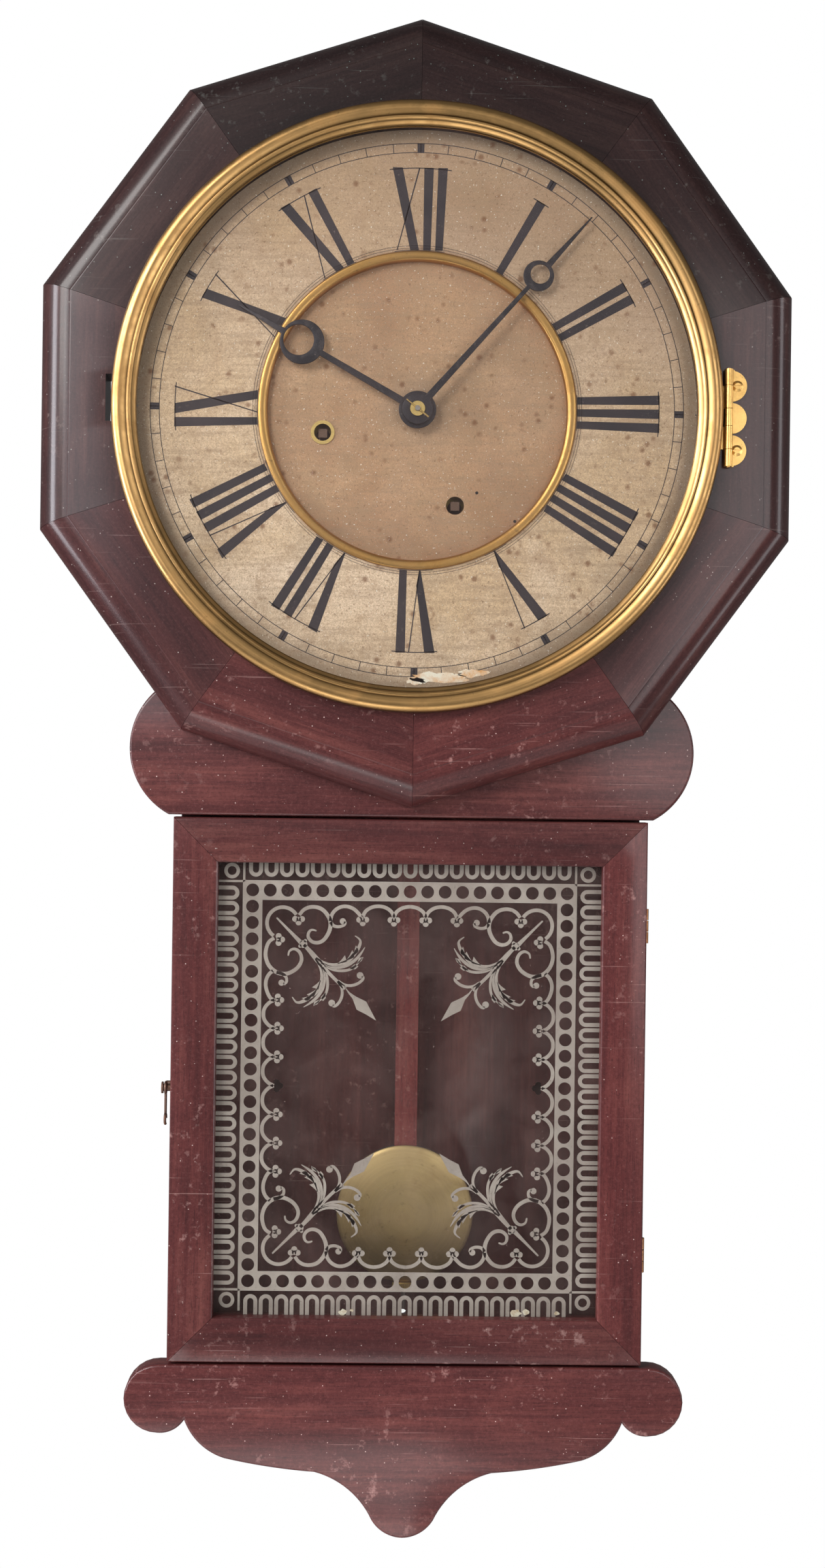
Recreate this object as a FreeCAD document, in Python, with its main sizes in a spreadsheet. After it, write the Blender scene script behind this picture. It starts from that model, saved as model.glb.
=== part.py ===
import FreeCAD, Part
import Sketcher
import math
import os
import re
from FreeCAD import Placement, Rotation, Vector

# A long-drop pendulum wall clock. Origin at the hanger hole on the back plane, +Z up, front towards -Y.
# "Depth" is the distance forward from the wall, so y = -depth. Heights with "drop" are below
# the dial centre.

SIZES = {
    # case
    "dial_below_hanger": 130.0,
    "case_half_width": 134.5,
    "board": 12.0,
    "backboard": 8.0,
    "case_depth": 75.0,
    "case_rise": 172.0,
    "case_foot": 28.5,  # below the foot of the door
    "steady_hole_radius": 2.25,
    "steady_hole_rise": 24.0,
    "front_board": 16.0,
    # hanger
    "hanger_hole_radius": 4.5,
    "hanger_plate": 2.0,
    "hanger_half_width": 17.0,
    "hanger_rise": 14.0,
    "hanger_fall": 36.0,
    # shoulder and apron
    "ear_radius": 44.0,
    "ear_offset": 119.5,
    "ear_drop": 5.3,  # of the ear circle, cut off below the shoulder board
    "shoulder_foot": 1.3,  # above the top of the door
    "apron_gap": 1.5,
    "apron_ear_radius": 19.8,
    "apron_ear_offset": 142.3,
    "apron_height": 99.5,
    # door
    "door_half_width": 137.5,
    "door_top": 234.0,
    "door_height": 315.5,
    "door_frame": 26.0,
    "door_gap": 0.4,
    "glass_rebate": 5.0,
    "glass": 2.0,
    "front_lip": 8.0,
    "hinge_height": 20.0,
    "hinge_inset": 61.0,
    "knuckle_radius": 2.5,
    "knuckle_offset": 0.5,
    "hinge_pin_radius": 1.2,
    "hinge_leaf": 1.2,
    "hinge_leaf_width": 11.0,
    "fit": 0.05,
    # head and bezel
    "head_radius": 227.0,
    "head_thickness": 22.0,
    "head_round_width": 18.0,
    "head_round_depth": 20.0,
    "head_opening": 160.5,
    "head_ledge": 150.0,
    "dial_recess": 6.0,
    "mitre_gap": 0.15,
    "catch_slot_width": 10.8,
    "catch_slot_rise": 16.7,
    "catch_slot_fall": 10.0,
    "bezel_radius": 173.0,
    "bezel_sight": 158.7,
    "bezel_proud": 10.5,
    "bezel_wall": 1.2,
    "bezel_gap": 0.4,
    "bezel_axis": 176.5,
    "bezel_hinge_drop": 3.0,
    "bezel_hinge_length": 55.5,
    "bezel_knuckle": 2.45,
    "lobe_radius": 8.75,
    "lobe_pitch": 18.3,
    "lobe_offset": 1.85,
    "screw_head": 3.2,
    # dial
    "dial_sheet": 1.2,
    "dial_radius": 160.0,
    "dial_hole": 86.5,
    "dial_sink": 4.0,
    "centre_radius": 90.0,
    "ring_outer": 91.0,
    "ring_inner": 85.5,
    "winding_hole": 5.2,
    "grommet_radius": 6.8,
    # movement
    "movement_back": 50.0,
    "movement_front": 89.5,
    "plate": 2.0,
    "plate_left": 72.0,
    "plate_right": 66.0,
    "plate_top": 56.0,
    "plate_foot": 78.0,
    "pillar_radius": 4.0,
    "arbor_radius": 1.5,
    "pivot_radius": 1.0,
    "winding_arbor": 4.0,
    "spring_inner": 7.0,
    "spring_outer": 33.0,
    "spring_strip": 0.9,
    "escape_radius": 16.0,
    "bridge_reach": 11.0,
    # hands
    "minute_hand_reach": 147.8,
    "hour_hand_reach": 118.0,
    "hand_sheet": 1.2,
    # pendulum
    "verge_rise": 44.6,
    "pendulum_length": 519.6,
    "pendulum_depth": 28.0,
    "rod_width": 13.5,
    "rod_thickness": 5.0,
    "rod_clearance": 0.35,
    "suspension_length": 28.0,
    "bob_radius": 41.5,
    "bob_thickness": 16.0,
    "nut_radius": 7.0,
    "nut_height": 5.0,
}

doc = FreeCAD.newDocument("pendulum_wall_clock")
sheet = doc.addObject("Spreadsheet::Sheet", "sizes")
for row, (alias, value) in enumerate(SIZES.items(), start=1):
    sheet.set(f"A{row}", alias.replace("_", " "))
    sheet.set(f"B{row}", str(value))
    sheet.setAlias(f"B{row}", alias)
doc.recompute()


class Read:
    """The sheet's values as attributes."""

    def __getattr__(self, alias):
        return float(getattr(sheet, alias))


s = Read()
parts = []


def bound(text):
    return re.sub(r"[a-z_]+", lambda word: f"sizes.{word[0]}" if word[0] in SIZES else word[0], str(text))


def bind(made, path, text):
    made.setExpression(path, bound(text))


def box(name, across, depth, up):
    """A block from (low, high) texts: across is x, depth is forward from the wall, up is z."""
    made = doc.addObject("Part::Box", name)
    bind(made, "Length", f"({across[1]}) - ({across[0]})")
    bind(made, "Width", f"({depth[1]}) - ({depth[0]})")
    bind(made, "Height", f"({up[1]}) - ({up[0]})")
    bind(made, "Placement.Base.x", across[0])
    bind(made, "Placement.Base.y", f"-({depth[1]})")
    bind(made, "Placement.Base.z", up[0])
    return made


def rod(name, radius, x, z, depth):
    """A cylinder along Y."""
    made = doc.addObject("Part::Cylinder", name)
    made.Placement.Rotation = Rotation(Vector(1, 0, 0), 90)
    bind(made, "Radius", radius)
    bind(made, "Height", f"({depth[1]}) - ({depth[0]})")
    bind(made, "Placement.Base.x", x)
    bind(made, "Placement.Base.y", f"-({depth[0]})")
    bind(made, "Placement.Base.z", z)
    return made


def upright(name, radius, x, depth, up):
    """A cylinder along Z."""
    made = doc.addObject("Part::Cylinder", name)
    bind(made, "Radius", radius)
    bind(made, "Height", f"({up[1]}) - ({up[0]})")
    bind(made, "Placement.Base.x", x)
    bind(made, "Placement.Base.y", f"-({depth})")
    bind(made, "Placement.Base.z", up[0])
    return made


def cut(name, base, *tools):
    for number, tool in enumerate(tools, start=1):
        made = doc.addObject("Part::Cut", name if number == len(tools) else f"{name}_step_{number}")
        made.Base = base
        made.Tool = tool
        base = made
    return base


def fuse(name, *pieces):
    made = doc.addObject("Part::MultiFuse", name)
    made.Shapes = list(pieces)
    return made


def group(name, *pieces):
    made = doc.addObject("Part::Compound", name)
    made.Links = list(pieces)
    return made


def feature(name, shape, placement=None):
    made = doc.addObject("Part::Feature", name)
    made.Shape = shape
    if placement:
        made.Placement = placement
    return made


def board(name, corners, depth, thickness):
    """A PartDesign board: a polygon sketch facing the room, padded forward from its back depth."""
    body = doc.addObject("PartDesign::Body", name)
    sketch = body.newObject("Sketcher::SketchObject", f"{name}_outline")
    plane = next(item for item in body.Origin.OriginFeatures if item.Role == "XZ_Plane")
    sketch.AttachmentSupport = (plane, [""])
    sketch.MapMode = "FlatFace"
    count = len(corners)
    start = [
        Vector(math.cos(2 * math.pi * k / count), math.sin(2 * math.pi * k / count), 0)
        for k in range(count)
    ]
    for k in range(count):
        sketch.addGeometry(Part.LineSegment(start[k], start[(k + 1) % count]), False)
    for k in range(count):
        sketch.addConstraint(Sketcher.Constraint("Coincident", k, 2, (k + 1) % count, 1))
    for k, (across, up) in enumerate(corners):
        for kind, text, rest in (("DistanceX", across, start[k].x), ("DistanceY", up, start[k].y)):
            index = sketch.addConstraint(Sketcher.Constraint(kind, -1, 1, k, 1, rest))
            bind(sketch, f"Constraints[{index}]", text)
    bind(sketch, "AttachmentOffset.Base.z", depth)
    pad = body.newObject("PartDesign::Pad", f"{name}_pad")
    pad.Profile = sketch
    bind(pad, "Length", thickness)
    body.Tip = pad
    return body


def keep(made):
    """Marks an object as a sub-part; its name is the node's name."""
    made.Label = made.Name
    parts.append(made)
    return made


def facing(x, z, depth):
    """Stands a shape drawn in X and Y up to face the room, its own +Z pointing forward."""
    return Placement(Vector(x, -depth, z), Rotation(Vector(1, 0, 0), 90))


def disc(radius, thickness, x=0.0, y=0.0, height=0.0):
    return Part.makeCylinder(radius, thickness, Vector(x, y, height))


def slab(points, thickness):
    outline = Part.makePolygon([Vector(*point, 0) for point in points + points[:1]])
    return Part.Face(outline).extrude(Vector(0, 0, thickness))


def arc(first, middle, last):
    return Part.Arc(Vector(*first, 0), Vector(*middle, 0), Vector(*last, 0)).toShape()


def line(first, last):
    return Part.makeLine(Vector(*first, 0), Vector(*last, 0))


def polar(radius, degrees):
    return radius * math.cos(math.radians(degrees)), radius * math.sin(math.radians(degrees))


def turned(profile, x, z):
    """Spins a profile of (radius, depth) edges about the forward axis through x, z."""
    face = Part.Face(Part.Wire(profile))
    spun = face.revolve(Vector(0, 0, 0), Vector(0, 1, 0), 360)
    spun.rotate(Vector(0, 0, 0), Vector(1, 0, 0), 180)
    spun.translate(Vector(x, 0, z))
    return spun


DIAL = "-dial_below_hanger"
CASE_FOOT = "(door_top + door_height + case_foot)"
EAR_DROP = "(door_top - shoulder_foot - ear_radius + ear_drop)"
dial_z = -s.dial_below_hanger


def below(drop):
    return f"{DIAL} - ({drop})"


# ---------------------------------------------------------------- case
FRONT = "case_depth + front_board"
inside = ("-case_half_width + board", "case_half_width - board")
case_back = box(
    "backboard_blank", inside, ("0", "backboard"), (
        below(f"{CASE_FOOT} - board"), below("-case_rise + board")
    )
)
hanger_spans = ("-hanger_half_width", "hanger_half_width"), ("-hanger_fall", "hanger_rise")
plate_pocket = box("hanger_pocket", hanger_spans[0], ("0", "hanger_plate"), hanger_spans[1])
nail_pocket = rod("nail_pocket", "hanger_hole_radius * 2", "0", "0", ("0", "hanger_plate * 3"))
steady_hole = rod(
    "steady_hole",
    "steady_hole_radius",
    "0",
    below(f"{CASE_FOOT} - board - steady_hole_rise"),
    ("-1", "backboard + 1"),
)
hanger_screw_rows = ("-hanger_fall / 2", "-hanger_fall + 7")
hanger_holes = [
    rod(f"hanger_screw_hole_{k}", "1.5", side, height, ("-1", "backboard - 1"))
    for k, (side, height) in enumerate(
        ((side, height) for side in ("-9", "9") for height in hanger_screw_rows)
    )
]
keep(cut("backboard", case_back, plate_pocket, nail_pocket, steady_hole, *hanger_holes))

plate = box("hanger_plate_blank", hanger_spans[0], ("0", "hanger_plate"), hanger_spans[1])
plate_hole = rod("hanger_plate_hole", "hanger_hole_radius", "0", "0", ("-1", "hanger_plate + 1"))
keep(cut("hanger_plate", plate, plate_hole, *hanger_holes))
keep(
    group(
        "hanger_screws",
        *[
            rod(f"hanger_screw_{k}", "1.5", side, height, ("0.1", "backboard - 1"))
            for k, (side, height) in enumerate(
                ((side, height) for side in ("-9", "9") for height in hanger_screw_rows)
            )
        ],
    )
)

EAR_TOP = below(f"{EAR_DROP} - ear_radius")
hinge_centres = {
    "upper": below("door_top + hinge_inset"), "lower": below("door_top + door_height - hinge_inset")
}


def hinge_span(centre, low, high):
    return f"({centre}) + ({low}) * hinge_height", f"({centre}) + ({high}) * hinge_height"


leaf_recesses = [
    box(
        f"case_leaf_recess_{which}",
        ("door_half_width + knuckle_offset - knuckle_radius - 0.5 - hinge_leaf_width", "case_half_width + 1"),
        ("case_depth - hinge_leaf", "case_depth + 1"),
        hinge_span(centre, "-0.5", "0.5"),
    )
    for which, centre in hinge_centres.items()
]
for side, sign in (("left", -1), ("right", 1)):
    outer, inner = f"{sign} * case_half_width", f"{sign} * (case_half_width - board)"
    across = (outer, inner) if sign < 0 else (inner, outer)
    blank = box(f"case_side_{side}_blank", across, ("0", FRONT), (below(CASE_FOOT), below("-case_rise")))
    wide = (f"{across[0]} - 1", f"{across[1]} + 1")
    notch = box(
        f"case_side_{side}_notch", wide, ("case_depth", f"{FRONT} + 1"), (
            below(f"{CASE_FOOT} + 1"), EAR_TOP
        )
    )
    tools = [notch] + (leaf_recesses if sign > 0 else [])
    keep(cut(f"case_side_{side}", blank, *tools))
keep(box("case_top", inside, ("0", FRONT), (below("-case_rise + board"), below("-case_rise"))))
keep(box("case_bottom", inside, ("0", "case_depth"), (below(CASE_FOOT), below(f"{CASE_FOOT} - board"))))


def shoulder_shape():
    """A straight board between two round ears, cut off level just above the door."""
    r, e = s.ear_radius, s.ear_offset
    bottom = -(s.door_top - s.shoulder_foot)
    middle = bottom + r - s.ear_drop
    foot = e + math.sqrt(r**2 - (r - s.ear_drop) ** 2)
    edges = [
        line((-foot, bottom), (foot, bottom)),
        arc((foot, bottom), (e + r, middle), (e, middle + r)),
        line((e, middle + r), (-e, middle + r)),
        arc((-e, middle + r), (-e - r, middle), (-foot, bottom)),
    ]
    return Part.Face(Part.Wire(edges)).extrude(Vector(0, 0, s.front_board))


keep(feature("shoulder_board", shoulder_shape(), facing(0, dial_z, s.case_depth)))


def apron_shape():
    """Two round ears, a cusp inside each, then an ogee sweep down to a rounded point."""
    r, e, tip = s.apron_ear_radius, s.apron_ear_offset, s.apron_height
    cusp = (0.892 * e, -1.62 * r)
    half = [
        ((e, 0), (e + r, -r), (e, -2 * r)),
        ((e, -2 * r), (0.942 * e, -1.93 * r), cusp),
        (cusp, (0.82 * e, -0.47 * tip), (0.727 * e, -0.543 * tip)),
        ((0.727 * e, -0.543 * tip), (0.52 * e, -0.596 * tip), (0.361 * e, -0.619 * tip)),
        ((0.361 * e, -0.619 * tip), (0.222 * e, -0.72 * tip), (0.127 * e, -0.894 * tip)),
        ((0.127 * e, -0.894 * tip), (0.07 * e, -0.973 * tip), (0, -tip)),
    ]
    edges = [arc(*piece) for piece in half]
    edges += [arc(*[(-x, y) for x, y in reversed(piece)]) for piece in reversed(half)]
    edges.append(line((-e, 0), (e, 0)))
    return Part.Face(Part.Wire(edges)).extrude(Vector(0, 0, s.front_board))


apron_top = s.door_top + s.door_height + s.apron_gap
keep(feature("apron_board", apron_shape(), facing(0, dial_z - apron_top, s.case_depth)))

# ---------------------------------------------------------------- door
DOOR_BACK = "case_depth + door_gap"
DOOR_FOOT = "door_top + door_height"
sight_half = "door_half_width - door_frame"
sight_top, sight_foot = below("door_top + door_frame"), below(f"{DOOR_FOOT} - door_frame")
door_top, door_foot = below("door_top"), below(DOOR_FOOT)
GLASS_BACK = f"{FRONT} - front_lip - glass"
rebate = box(
    "door_rebate",
    (f"-({sight_half}) - glass_rebate", f"{sight_half} + glass_rebate"),
    ("case_depth", f"{FRONT} - front_lip"),
    (f"{sight_foot} - glass_rebate", f"{sight_top} + glass_rebate"),
)
knuckle_x = "door_half_width + knuckle_offset"
knuckle_depth = "case_depth + door_gap / 2"
knuckle_notches = [
    upright(
        f"knuckle_notch_{which}",
        "knuckle_radius + 0.4",
        knuckle_x,
        knuckle_depth,
        hinge_span(centre, "-0.52", "0.52"),
    )
    for which, centre in hinge_centres.items()
]
door_leaf_recesses = [
    box(
        f"door_leaf_recess_{which}",
        (f"{knuckle_x} - knuckle_radius - 0.5 - hinge_leaf_width", "door_half_width + 1"),
        ("case_depth", f"{DOOR_BACK} + hinge_leaf"),
        hinge_span(centre, "-0.5", "0.5"),
    )
    for which, centre in hinge_centres.items()
]
for side, sign in (("left", -1), ("right", 1)):
    outer, inner = f"{sign} * door_half_width", f"{sign} * ({sight_half})"
    corners = [(outer, door_foot), (inner, sight_foot), (inner, sight_top), (outer, door_top)]
    stile = board(f"door_stile_{side}_board", corners, DOOR_BACK, "front_board - door_gap")
    tools = [rebate] + (knuckle_notches + door_leaf_recesses if sign > 0 else [])
    keep(cut(f"door_stile_{side}", stile, *tools))
for which, edge, inner in (("top", door_top, sight_top), ("bottom", door_foot, sight_foot)):
    corners = [
        ("-door_half_width", edge),
        ("door_half_width", edge),
        (sight_half, inner),
        (f"-({sight_half})", inner),
    ]
    rail = board(f"door_rail_{which}_board", corners, DOOR_BACK, "front_board - door_gap")
    keep(cut(f"door_rail_{which}", rail, rebate))

pane = (f"-({sight_half}) - glass_rebate + 0.5", f"{sight_half} + glass_rebate - 0.5")
pane_up = (f"{sight_foot} - glass_rebate + 0.5", f"{sight_top} + glass_rebate - 0.5")
keep(box("door_glass", pane, (GLASS_BACK, f"{GLASS_BACK} + glass"), pane_up))
bead_outer = box("door_bead_outer", pane, (f"{GLASS_BACK} - 4", GLASS_BACK), pane_up)
bead_inner = box(
    "door_bead_inner",
    (f"{pane[0]} + 4", f"{pane[1]} - 4"),
    (f"{GLASS_BACK} - 5", f"{GLASS_BACK} + 1"),
    (f"{pane_up[0]} + 4", f"{pane_up[1]} - 4"),
)
keep(cut("door_glass_beads", bead_outer, bead_inner))

# Each door hinge: the case leaf carries the end knuckles, the door leaf the middle one.
case_leaves, door_leaves, pins = [], [], []
for which, centre in hinge_centres.items():
    leaf_across = (
        f"{knuckle_x} - knuckle_radius - 0.5 - hinge_leaf_width", f"{knuckle_x} - knuckle_radius - 0.5"
    )
    tab_across = (f"{knuckle_x} - knuckle_radius - 0.6", knuckle_x)
    bore = upright(
        f"hinge_bore_{which}",
        "hinge_pin_radius + fit",
        knuckle_x,
        knuckle_depth,
        hinge_span(centre, "-0.6", "0.6"),
    )
    pins.append(
        upright(
            f"hinge_pin_{which}",
            "hinge_pin_radius",
            knuckle_x,
            knuckle_depth,
            hinge_span(centre, "-0.51", "0.51"),
        ),
    )
    layouts = {
        "case": (("case_depth - hinge_leaf", "case_depth"), (("-0.5", "-0.18"), ("0.18", "0.5"))),
        "door": ((DOOR_BACK, f"{DOOR_BACK} + hinge_leaf"), (("-0.16", "0.16"),)),
    }
    for owner, (depths, spans) in layouts.items():
        pieces = [box(f"{owner}_leaf_{which}", leaf_across, depths, hinge_span(centre, "-0.5", "0.5"))]
        for k, span in enumerate(spans):
            pieces.append(box(f"{owner}_tab_{which}_{k}", tab_across, depths, hinge_span(centre, *span)))
            knuckle = upright(
                f"{owner}_knuckle_{which}_{k}",
                "knuckle_radius",
                knuckle_x,
                knuckle_depth,
                hinge_span(centre, *span),
            )
            pieces.append(knuckle)
        whole = fuse(f"{owner}_leaf_whole_{which}", *pieces)
        leaves = case_leaves if owner == "case" else door_leaves
        leaves.append(cut(f"{owner}_leaf_bored_{which}", whole, bore))
keep(group("door_hinge_case_leaves", *case_leaves))
keep(group("door_hinge_door_leaves", *door_leaves))

# A wire hook turns on a screw in the door's left edge and reaches back to a pin in the case side.
HOOK_UP = below("door_top + door_height / 2")
HOOK_REACH = 18.0
hook_depth = s.case_depth + s.front_board / 2
hook_z = dial_z - s.door_top - s.door_height / 2
hook_x = -s.door_half_width - 3.2


def hook_shape():
    """An eye, a straight shank and an open crook, drawn hanging down in the plane of the door's edge."""
    wire = 0.8
    eye = Part.makeTorus(2.2 + wire, wire, Vector(0, 0, 0), Vector(1, 0, 0))
    shank = Part.makeCylinder(wire, HOOK_REACH - 5.8, Vector(0, 0, -2.8), Vector(0, 0, -1))
    crook_centre = Vector(0, 0, -HOOK_REACH - 0.2)
    crook = Part.makeTorus(2.8, wire, crook_centre, Vector(1, 0, 0))
    mouth = Part.makeBox(4, 6, 6, Vector(-2, 0, -HOOK_REACH - 6.2))
    hook = eye.fuse([shank, crook.cut(mouth)]).removeSplitter()
    return hook


keep(feature("door_hook", hook_shape(), Placement(Vector(hook_x, -hook_depth, hook_z), Rotation())))


def crossbar(name, radius, start, length, depth, z):
    made = feature(name, Part.makeCylinder(radius, length, Vector(start, -depth, z), Vector(1, 0, 0)))
    return made


hook_screw = Part.makeCylinder(2.1, 8.0, Vector(hook_x - 1.4, -hook_depth, hook_z), Vector(1, 0, 0))
hook_screw = hook_screw.fuse(
    Part.makeCylinder(3.4, 1.0, Vector(hook_x - 2.4, -hook_depth, hook_z), Vector(1, 0, 0))
)
keep(feature("door_hook_screw", hook_screw.removeSplitter()))
pin_start = hook_x - 1.6
pin_length = -s.case_half_width + 4 - pin_start
keep(crossbar("case_hook_pin", 1.3, pin_start, pin_length, hook_depth - HOOK_REACH, hook_z))

# ---------------------------------------------------------------- head
front = s.case_depth + s.front_board
face = front + s.head_thickness
sides = 10
apothem = s.head_radius * math.cos(math.pi / sides)


def head_shape():
    """Ten segments, each a moulded profile run along one side and cut back to its two mitres."""
    width, deep, thick = s.head_round_width, s.head_round_depth, s.head_thickness
    corner = Vector(apothem - 0.3 * width, 0, thick - 0.3 * deep)
    outline = [
        (s.head_ledge - 30, 0),
        (apothem, 0),
        (apothem, thick - deep),
        (apothem - width, thick),
        (s.head_ledge - 30, thick),
    ]
    points = [Vector(across, 0, up) for across, up in outline]
    edges = [Part.makeLine(points[k], points[k + 1]) for k in (0, 1, 3)]
    edges.append(Part.Arc(points[2], corner, points[3]).toShape())
    edges.append(Part.makeLine(points[4], points[0]))
    profile = Part.Face(Part.Wire(Part.__sortEdges__(edges)))
    half = s.head_radius * math.sin(math.pi / sides)
    run = profile.extrude(Vector(0, 4 * half, 0))
    run.translate(Vector(0, -2 * half, 0))
    far = 1.2 * s.head_radius
    reach = far * math.tan(math.pi / sides)
    kerf = s.mitre_gap / math.sin(math.pi / sides)
    wedge = slab([(kerf, 0), (far + kerf, reach), (far + kerf, -reach)], thick)
    opening = disc(s.head_opening, thick, height=thick - s.dial_recess - s.dial_sheet)
    ledge = disc(s.head_ledge, 3 * thick, height=-thick)
    segment = run.common(wedge).cut(opening.fuse(ledge))
    segments = []
    for k in range(sides):
        piece = segment.copy()
        piece.rotate(Vector(0, 0, 0), Vector(0, 0, 1), 360 * k / sides)
        segments.append(piece)
    slot_start = -s.bezel_radius - 3.8
    slot = Part.makeBox(
        s.catch_slot_width,
        s.catch_slot_rise + s.catch_slot_fall,
        3 * thick,
        Vector(slot_start, -s.catch_slot_fall, -thick),
    )
    segments[sides // 2] = segments[sides // 2].cut(slot)
    return Part.Compound(segments)


keep(feature("head_segments", head_shape(), facing(0, dial_z, front)))

# ---------------------------------------------------------------- bezel
def bezel_shape():
    """A spun shell: a rounded band, a groove, a bead and a slope down to the sight edge."""
    rim, sight, wall = s.bezel_radius, s.bezel_sight, s.bezel_wall
    foot = face + s.bezel_gap
    crest = face + s.bezel_proud
    edge = crest - 5
    outer = [(rim, foot), (rim, crest - 5), (rim - 4.5, crest), (rim - 8.8, crest - 1.4)]
    bead = [
        (rim - 8.8, crest - 1.4), (rim - 10.2, crest - 0.4), (rim - 11.4, crest - 1.6), (sight, edge + 0.6)
    ]
    inner = [
        (sight, edge - wall),
        (rim - 9.6, crest - 3.6),
        (rim - 4.6, crest - wall - 0.6),
        (rim - wall, crest - 6),
    ]
    edges = [
        line(outer[0], outer[1]),
        arc(outer[1], (rim - 1.3, crest - 1.5), outer[2]),
        arc(outer[2], (rim - 6.8, crest - 0.4), outer[3]),
        arc(bead[0], bead[1], bead[2]),
        line(bead[2], bead[3]),
        line(bead[3], inner[0]),
        line(inner[0], inner[1]),
        line(inner[1], inner[2]),
        line(inner[2], inner[3]),
        line(inner[3], (rim - wall, foot)),
        line((rim - wall, foot), outer[0]),
    ]
    return turned(edges, 0, dial_z)


keep(feature("bezel_ring", bezel_shape()))
GLASS_SEAT = f"{FRONT} + head_thickness + bezel_proud - 5 - bezel_wall - 0.1"
keep(rod("bezel_glass", "bezel_sight + 1.8", "0", DIAL, (f"{GLASS_SEAT} - glass", GLASS_SEAT)))
retainer_outer = rod(
    "retainer_outer",
    "bezel_sight + 2.6",
    "0",
    DIAL,
    (f"{GLASS_SEAT} - glass - 1.2", f"{GLASS_SEAT} - glass"),
)
retainer_inner = rod(
    "retainer_inner", "bezel_sight + 0.4", "0", DIAL, (f"{GLASS_SEAT} - glass - 3", f"{GLASS_SEAT}")
)
keep(cut("bezel_retainer", retainer_outer, retainer_inner))

# Bezel hinge: five knuckles, three on the lobed leaf screwed to the head and two on the bezel's strap.
AXIS_DEPTH = f"{FRONT} + head_thickness + bezel_knuckle + 0.15"
hinge_mid = dial_z - s.bezel_hinge_drop
knuckle_shares = [9.3, 13.2, 10.0, 13.1, 9.9]
share = s.bezel_hinge_length / sum(knuckle_shares)
axis_depth = face + s.bezel_knuckle + 0.15


def bezel_hinge():
    leaf_pieces, strap_pieces = [], []
    top = hinge_mid + s.bezel_hinge_length / 2
    joint = 0.15
    for k, knuckle in enumerate(knuckle_shares):
        length = knuckle * share - 2 * joint
        foot = top - length - joint
        barrel = Part.makeCylinder(s.bezel_knuckle, length, Vector(s.bezel_axis, -axis_depth, foot))
        if k % 2:
            start = s.bezel_radius - 1.2
            strap = Part.makeBox(
                s.bezel_axis - start, 1.0, length, Vector(start, -face - s.bezel_gap - 1.0, foot)
            )
            strap_pieces.append(barrel.fuse(strap))
        else:
            leaf_pieces.append(barrel)
            web = Part.makeBox(s.bezel_knuckle + 1.0, 1.2, length, Vector(s.bezel_axis, -face - 1.2, foot))
            leaf_pieces.append(web)
        top -= knuckle * share
    reach = s.bezel_axis + s.bezel_knuckle + 0.3
    for k in (-1, 0, 1):
        lobe = Part.makeCylinder(s.lobe_radius, 1.2, Vector(0, 0, 0), Vector(0, 1, 0))
        lobe.translate(Vector(s.bezel_axis + s.lobe_offset, -face - 1.2, hinge_mid + k * s.lobe_pitch))
        keep_right = Part.makeBox(40, 40, 200, Vector(reach, -face - 20, hinge_mid - 100))
        leaf_pieces.append(lobe.common(keep_right))
    bore = Part.makeCylinder(
        s.hinge_pin_radius + s.fit, 100, Vector(s.bezel_axis, -axis_depth, hinge_mid - 50)
    )
    leaf = leaf_pieces[0].fuse(leaf_pieces[1:]).cut(bore)
    straps = [piece.cut(bore) for piece in strap_pieces]
    for k in (-1, 1):
        hole = Part.makeCylinder(
            1.6, 4, Vector(s.bezel_axis + 5.2, -face - 3, hinge_mid + k * s.lobe_pitch), Vector(0, 1, 0)
        )
        leaf = leaf.cut(hole)
    return leaf.removeSplitter(), Part.Compound(straps)


leaf_shape, strap_shape = bezel_hinge()
keep(feature("bezel_hinge_leaf", leaf_shape))
keep(feature("bezel_hinge_strap", strap_shape))
pin_half = s.bezel_hinge_length / 2 + 0.3
pin_shape = Part.makeCylinder(
    s.hinge_pin_radius, 2 * pin_half, Vector(s.bezel_axis, -axis_depth, hinge_mid - pin_half)
)
keep(group("hinge_pins", *pins, feature("bezel_hinge_pin", pin_shape)))


def slotted_screw(x, z, depth, shank_radius, shank):
    """A domed head with a slot, standing on the plane at this depth."""
    head = Part.makeCone(s.screw_head, s.screw_head * 0.55, 1.1)
    slot = Part.makeBox(2.2 * s.screw_head, 0.8, 1.0, Vector(-1.1 * s.screw_head, -0.4, 0.6))
    body = Part.makeCylinder(shank_radius, shank, Vector(0, 0, -shank))
    screw = head.cut(slot).fuse(body)
    screw.Placement = facing(x, z, depth)
    return screw


screw_x = s.bezel_axis + 5.2
hinge_screws = [slotted_screw(screw_x, hinge_mid + k * s.lobe_pitch, face + 1.2, 1.5, 10) for k in (-1, 1)]
keep(feature("bezel_hinge_screws", Part.Compound(hinge_screws)))

# ---------------------------------------------------------------- dial
W1 = (-54.0, -12.8)
W2 = (22.3, -53.5)
DIAL_FRONT = f"{FRONT} + head_thickness - dial_recess"
SUNK_FRONT = f"{DIAL_FRONT} - dial_sink"
chapter = rod("chapter_blank", "dial_radius", "0", DIAL, (f"{DIAL_FRONT} - dial_sheet", DIAL_FRONT))
chapter_hole = rod("chapter_hole", "dial_hole", "0", DIAL, (f"{SUNK_FRONT} - 2", f"{DIAL_FRONT} + 2"))
pin_circle = s.bezel_sight + 0.65
dial_pin_holes = [
    rod(f"dial_pin_hole_{k}", "0.5", *map(
        str, (polar(pin_circle, 60 * k)[0], dial_z + polar(pin_circle, 60 * k)[1])
    ),
        (f"{DIAL_FRONT} - 3", f"{DIAL_FRONT} + 1"))
    for k in range(6)
]
keep(cut("dial_chapter_plate", chapter, chapter_hole, *dial_pin_holes))
dial_pins = []
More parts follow.
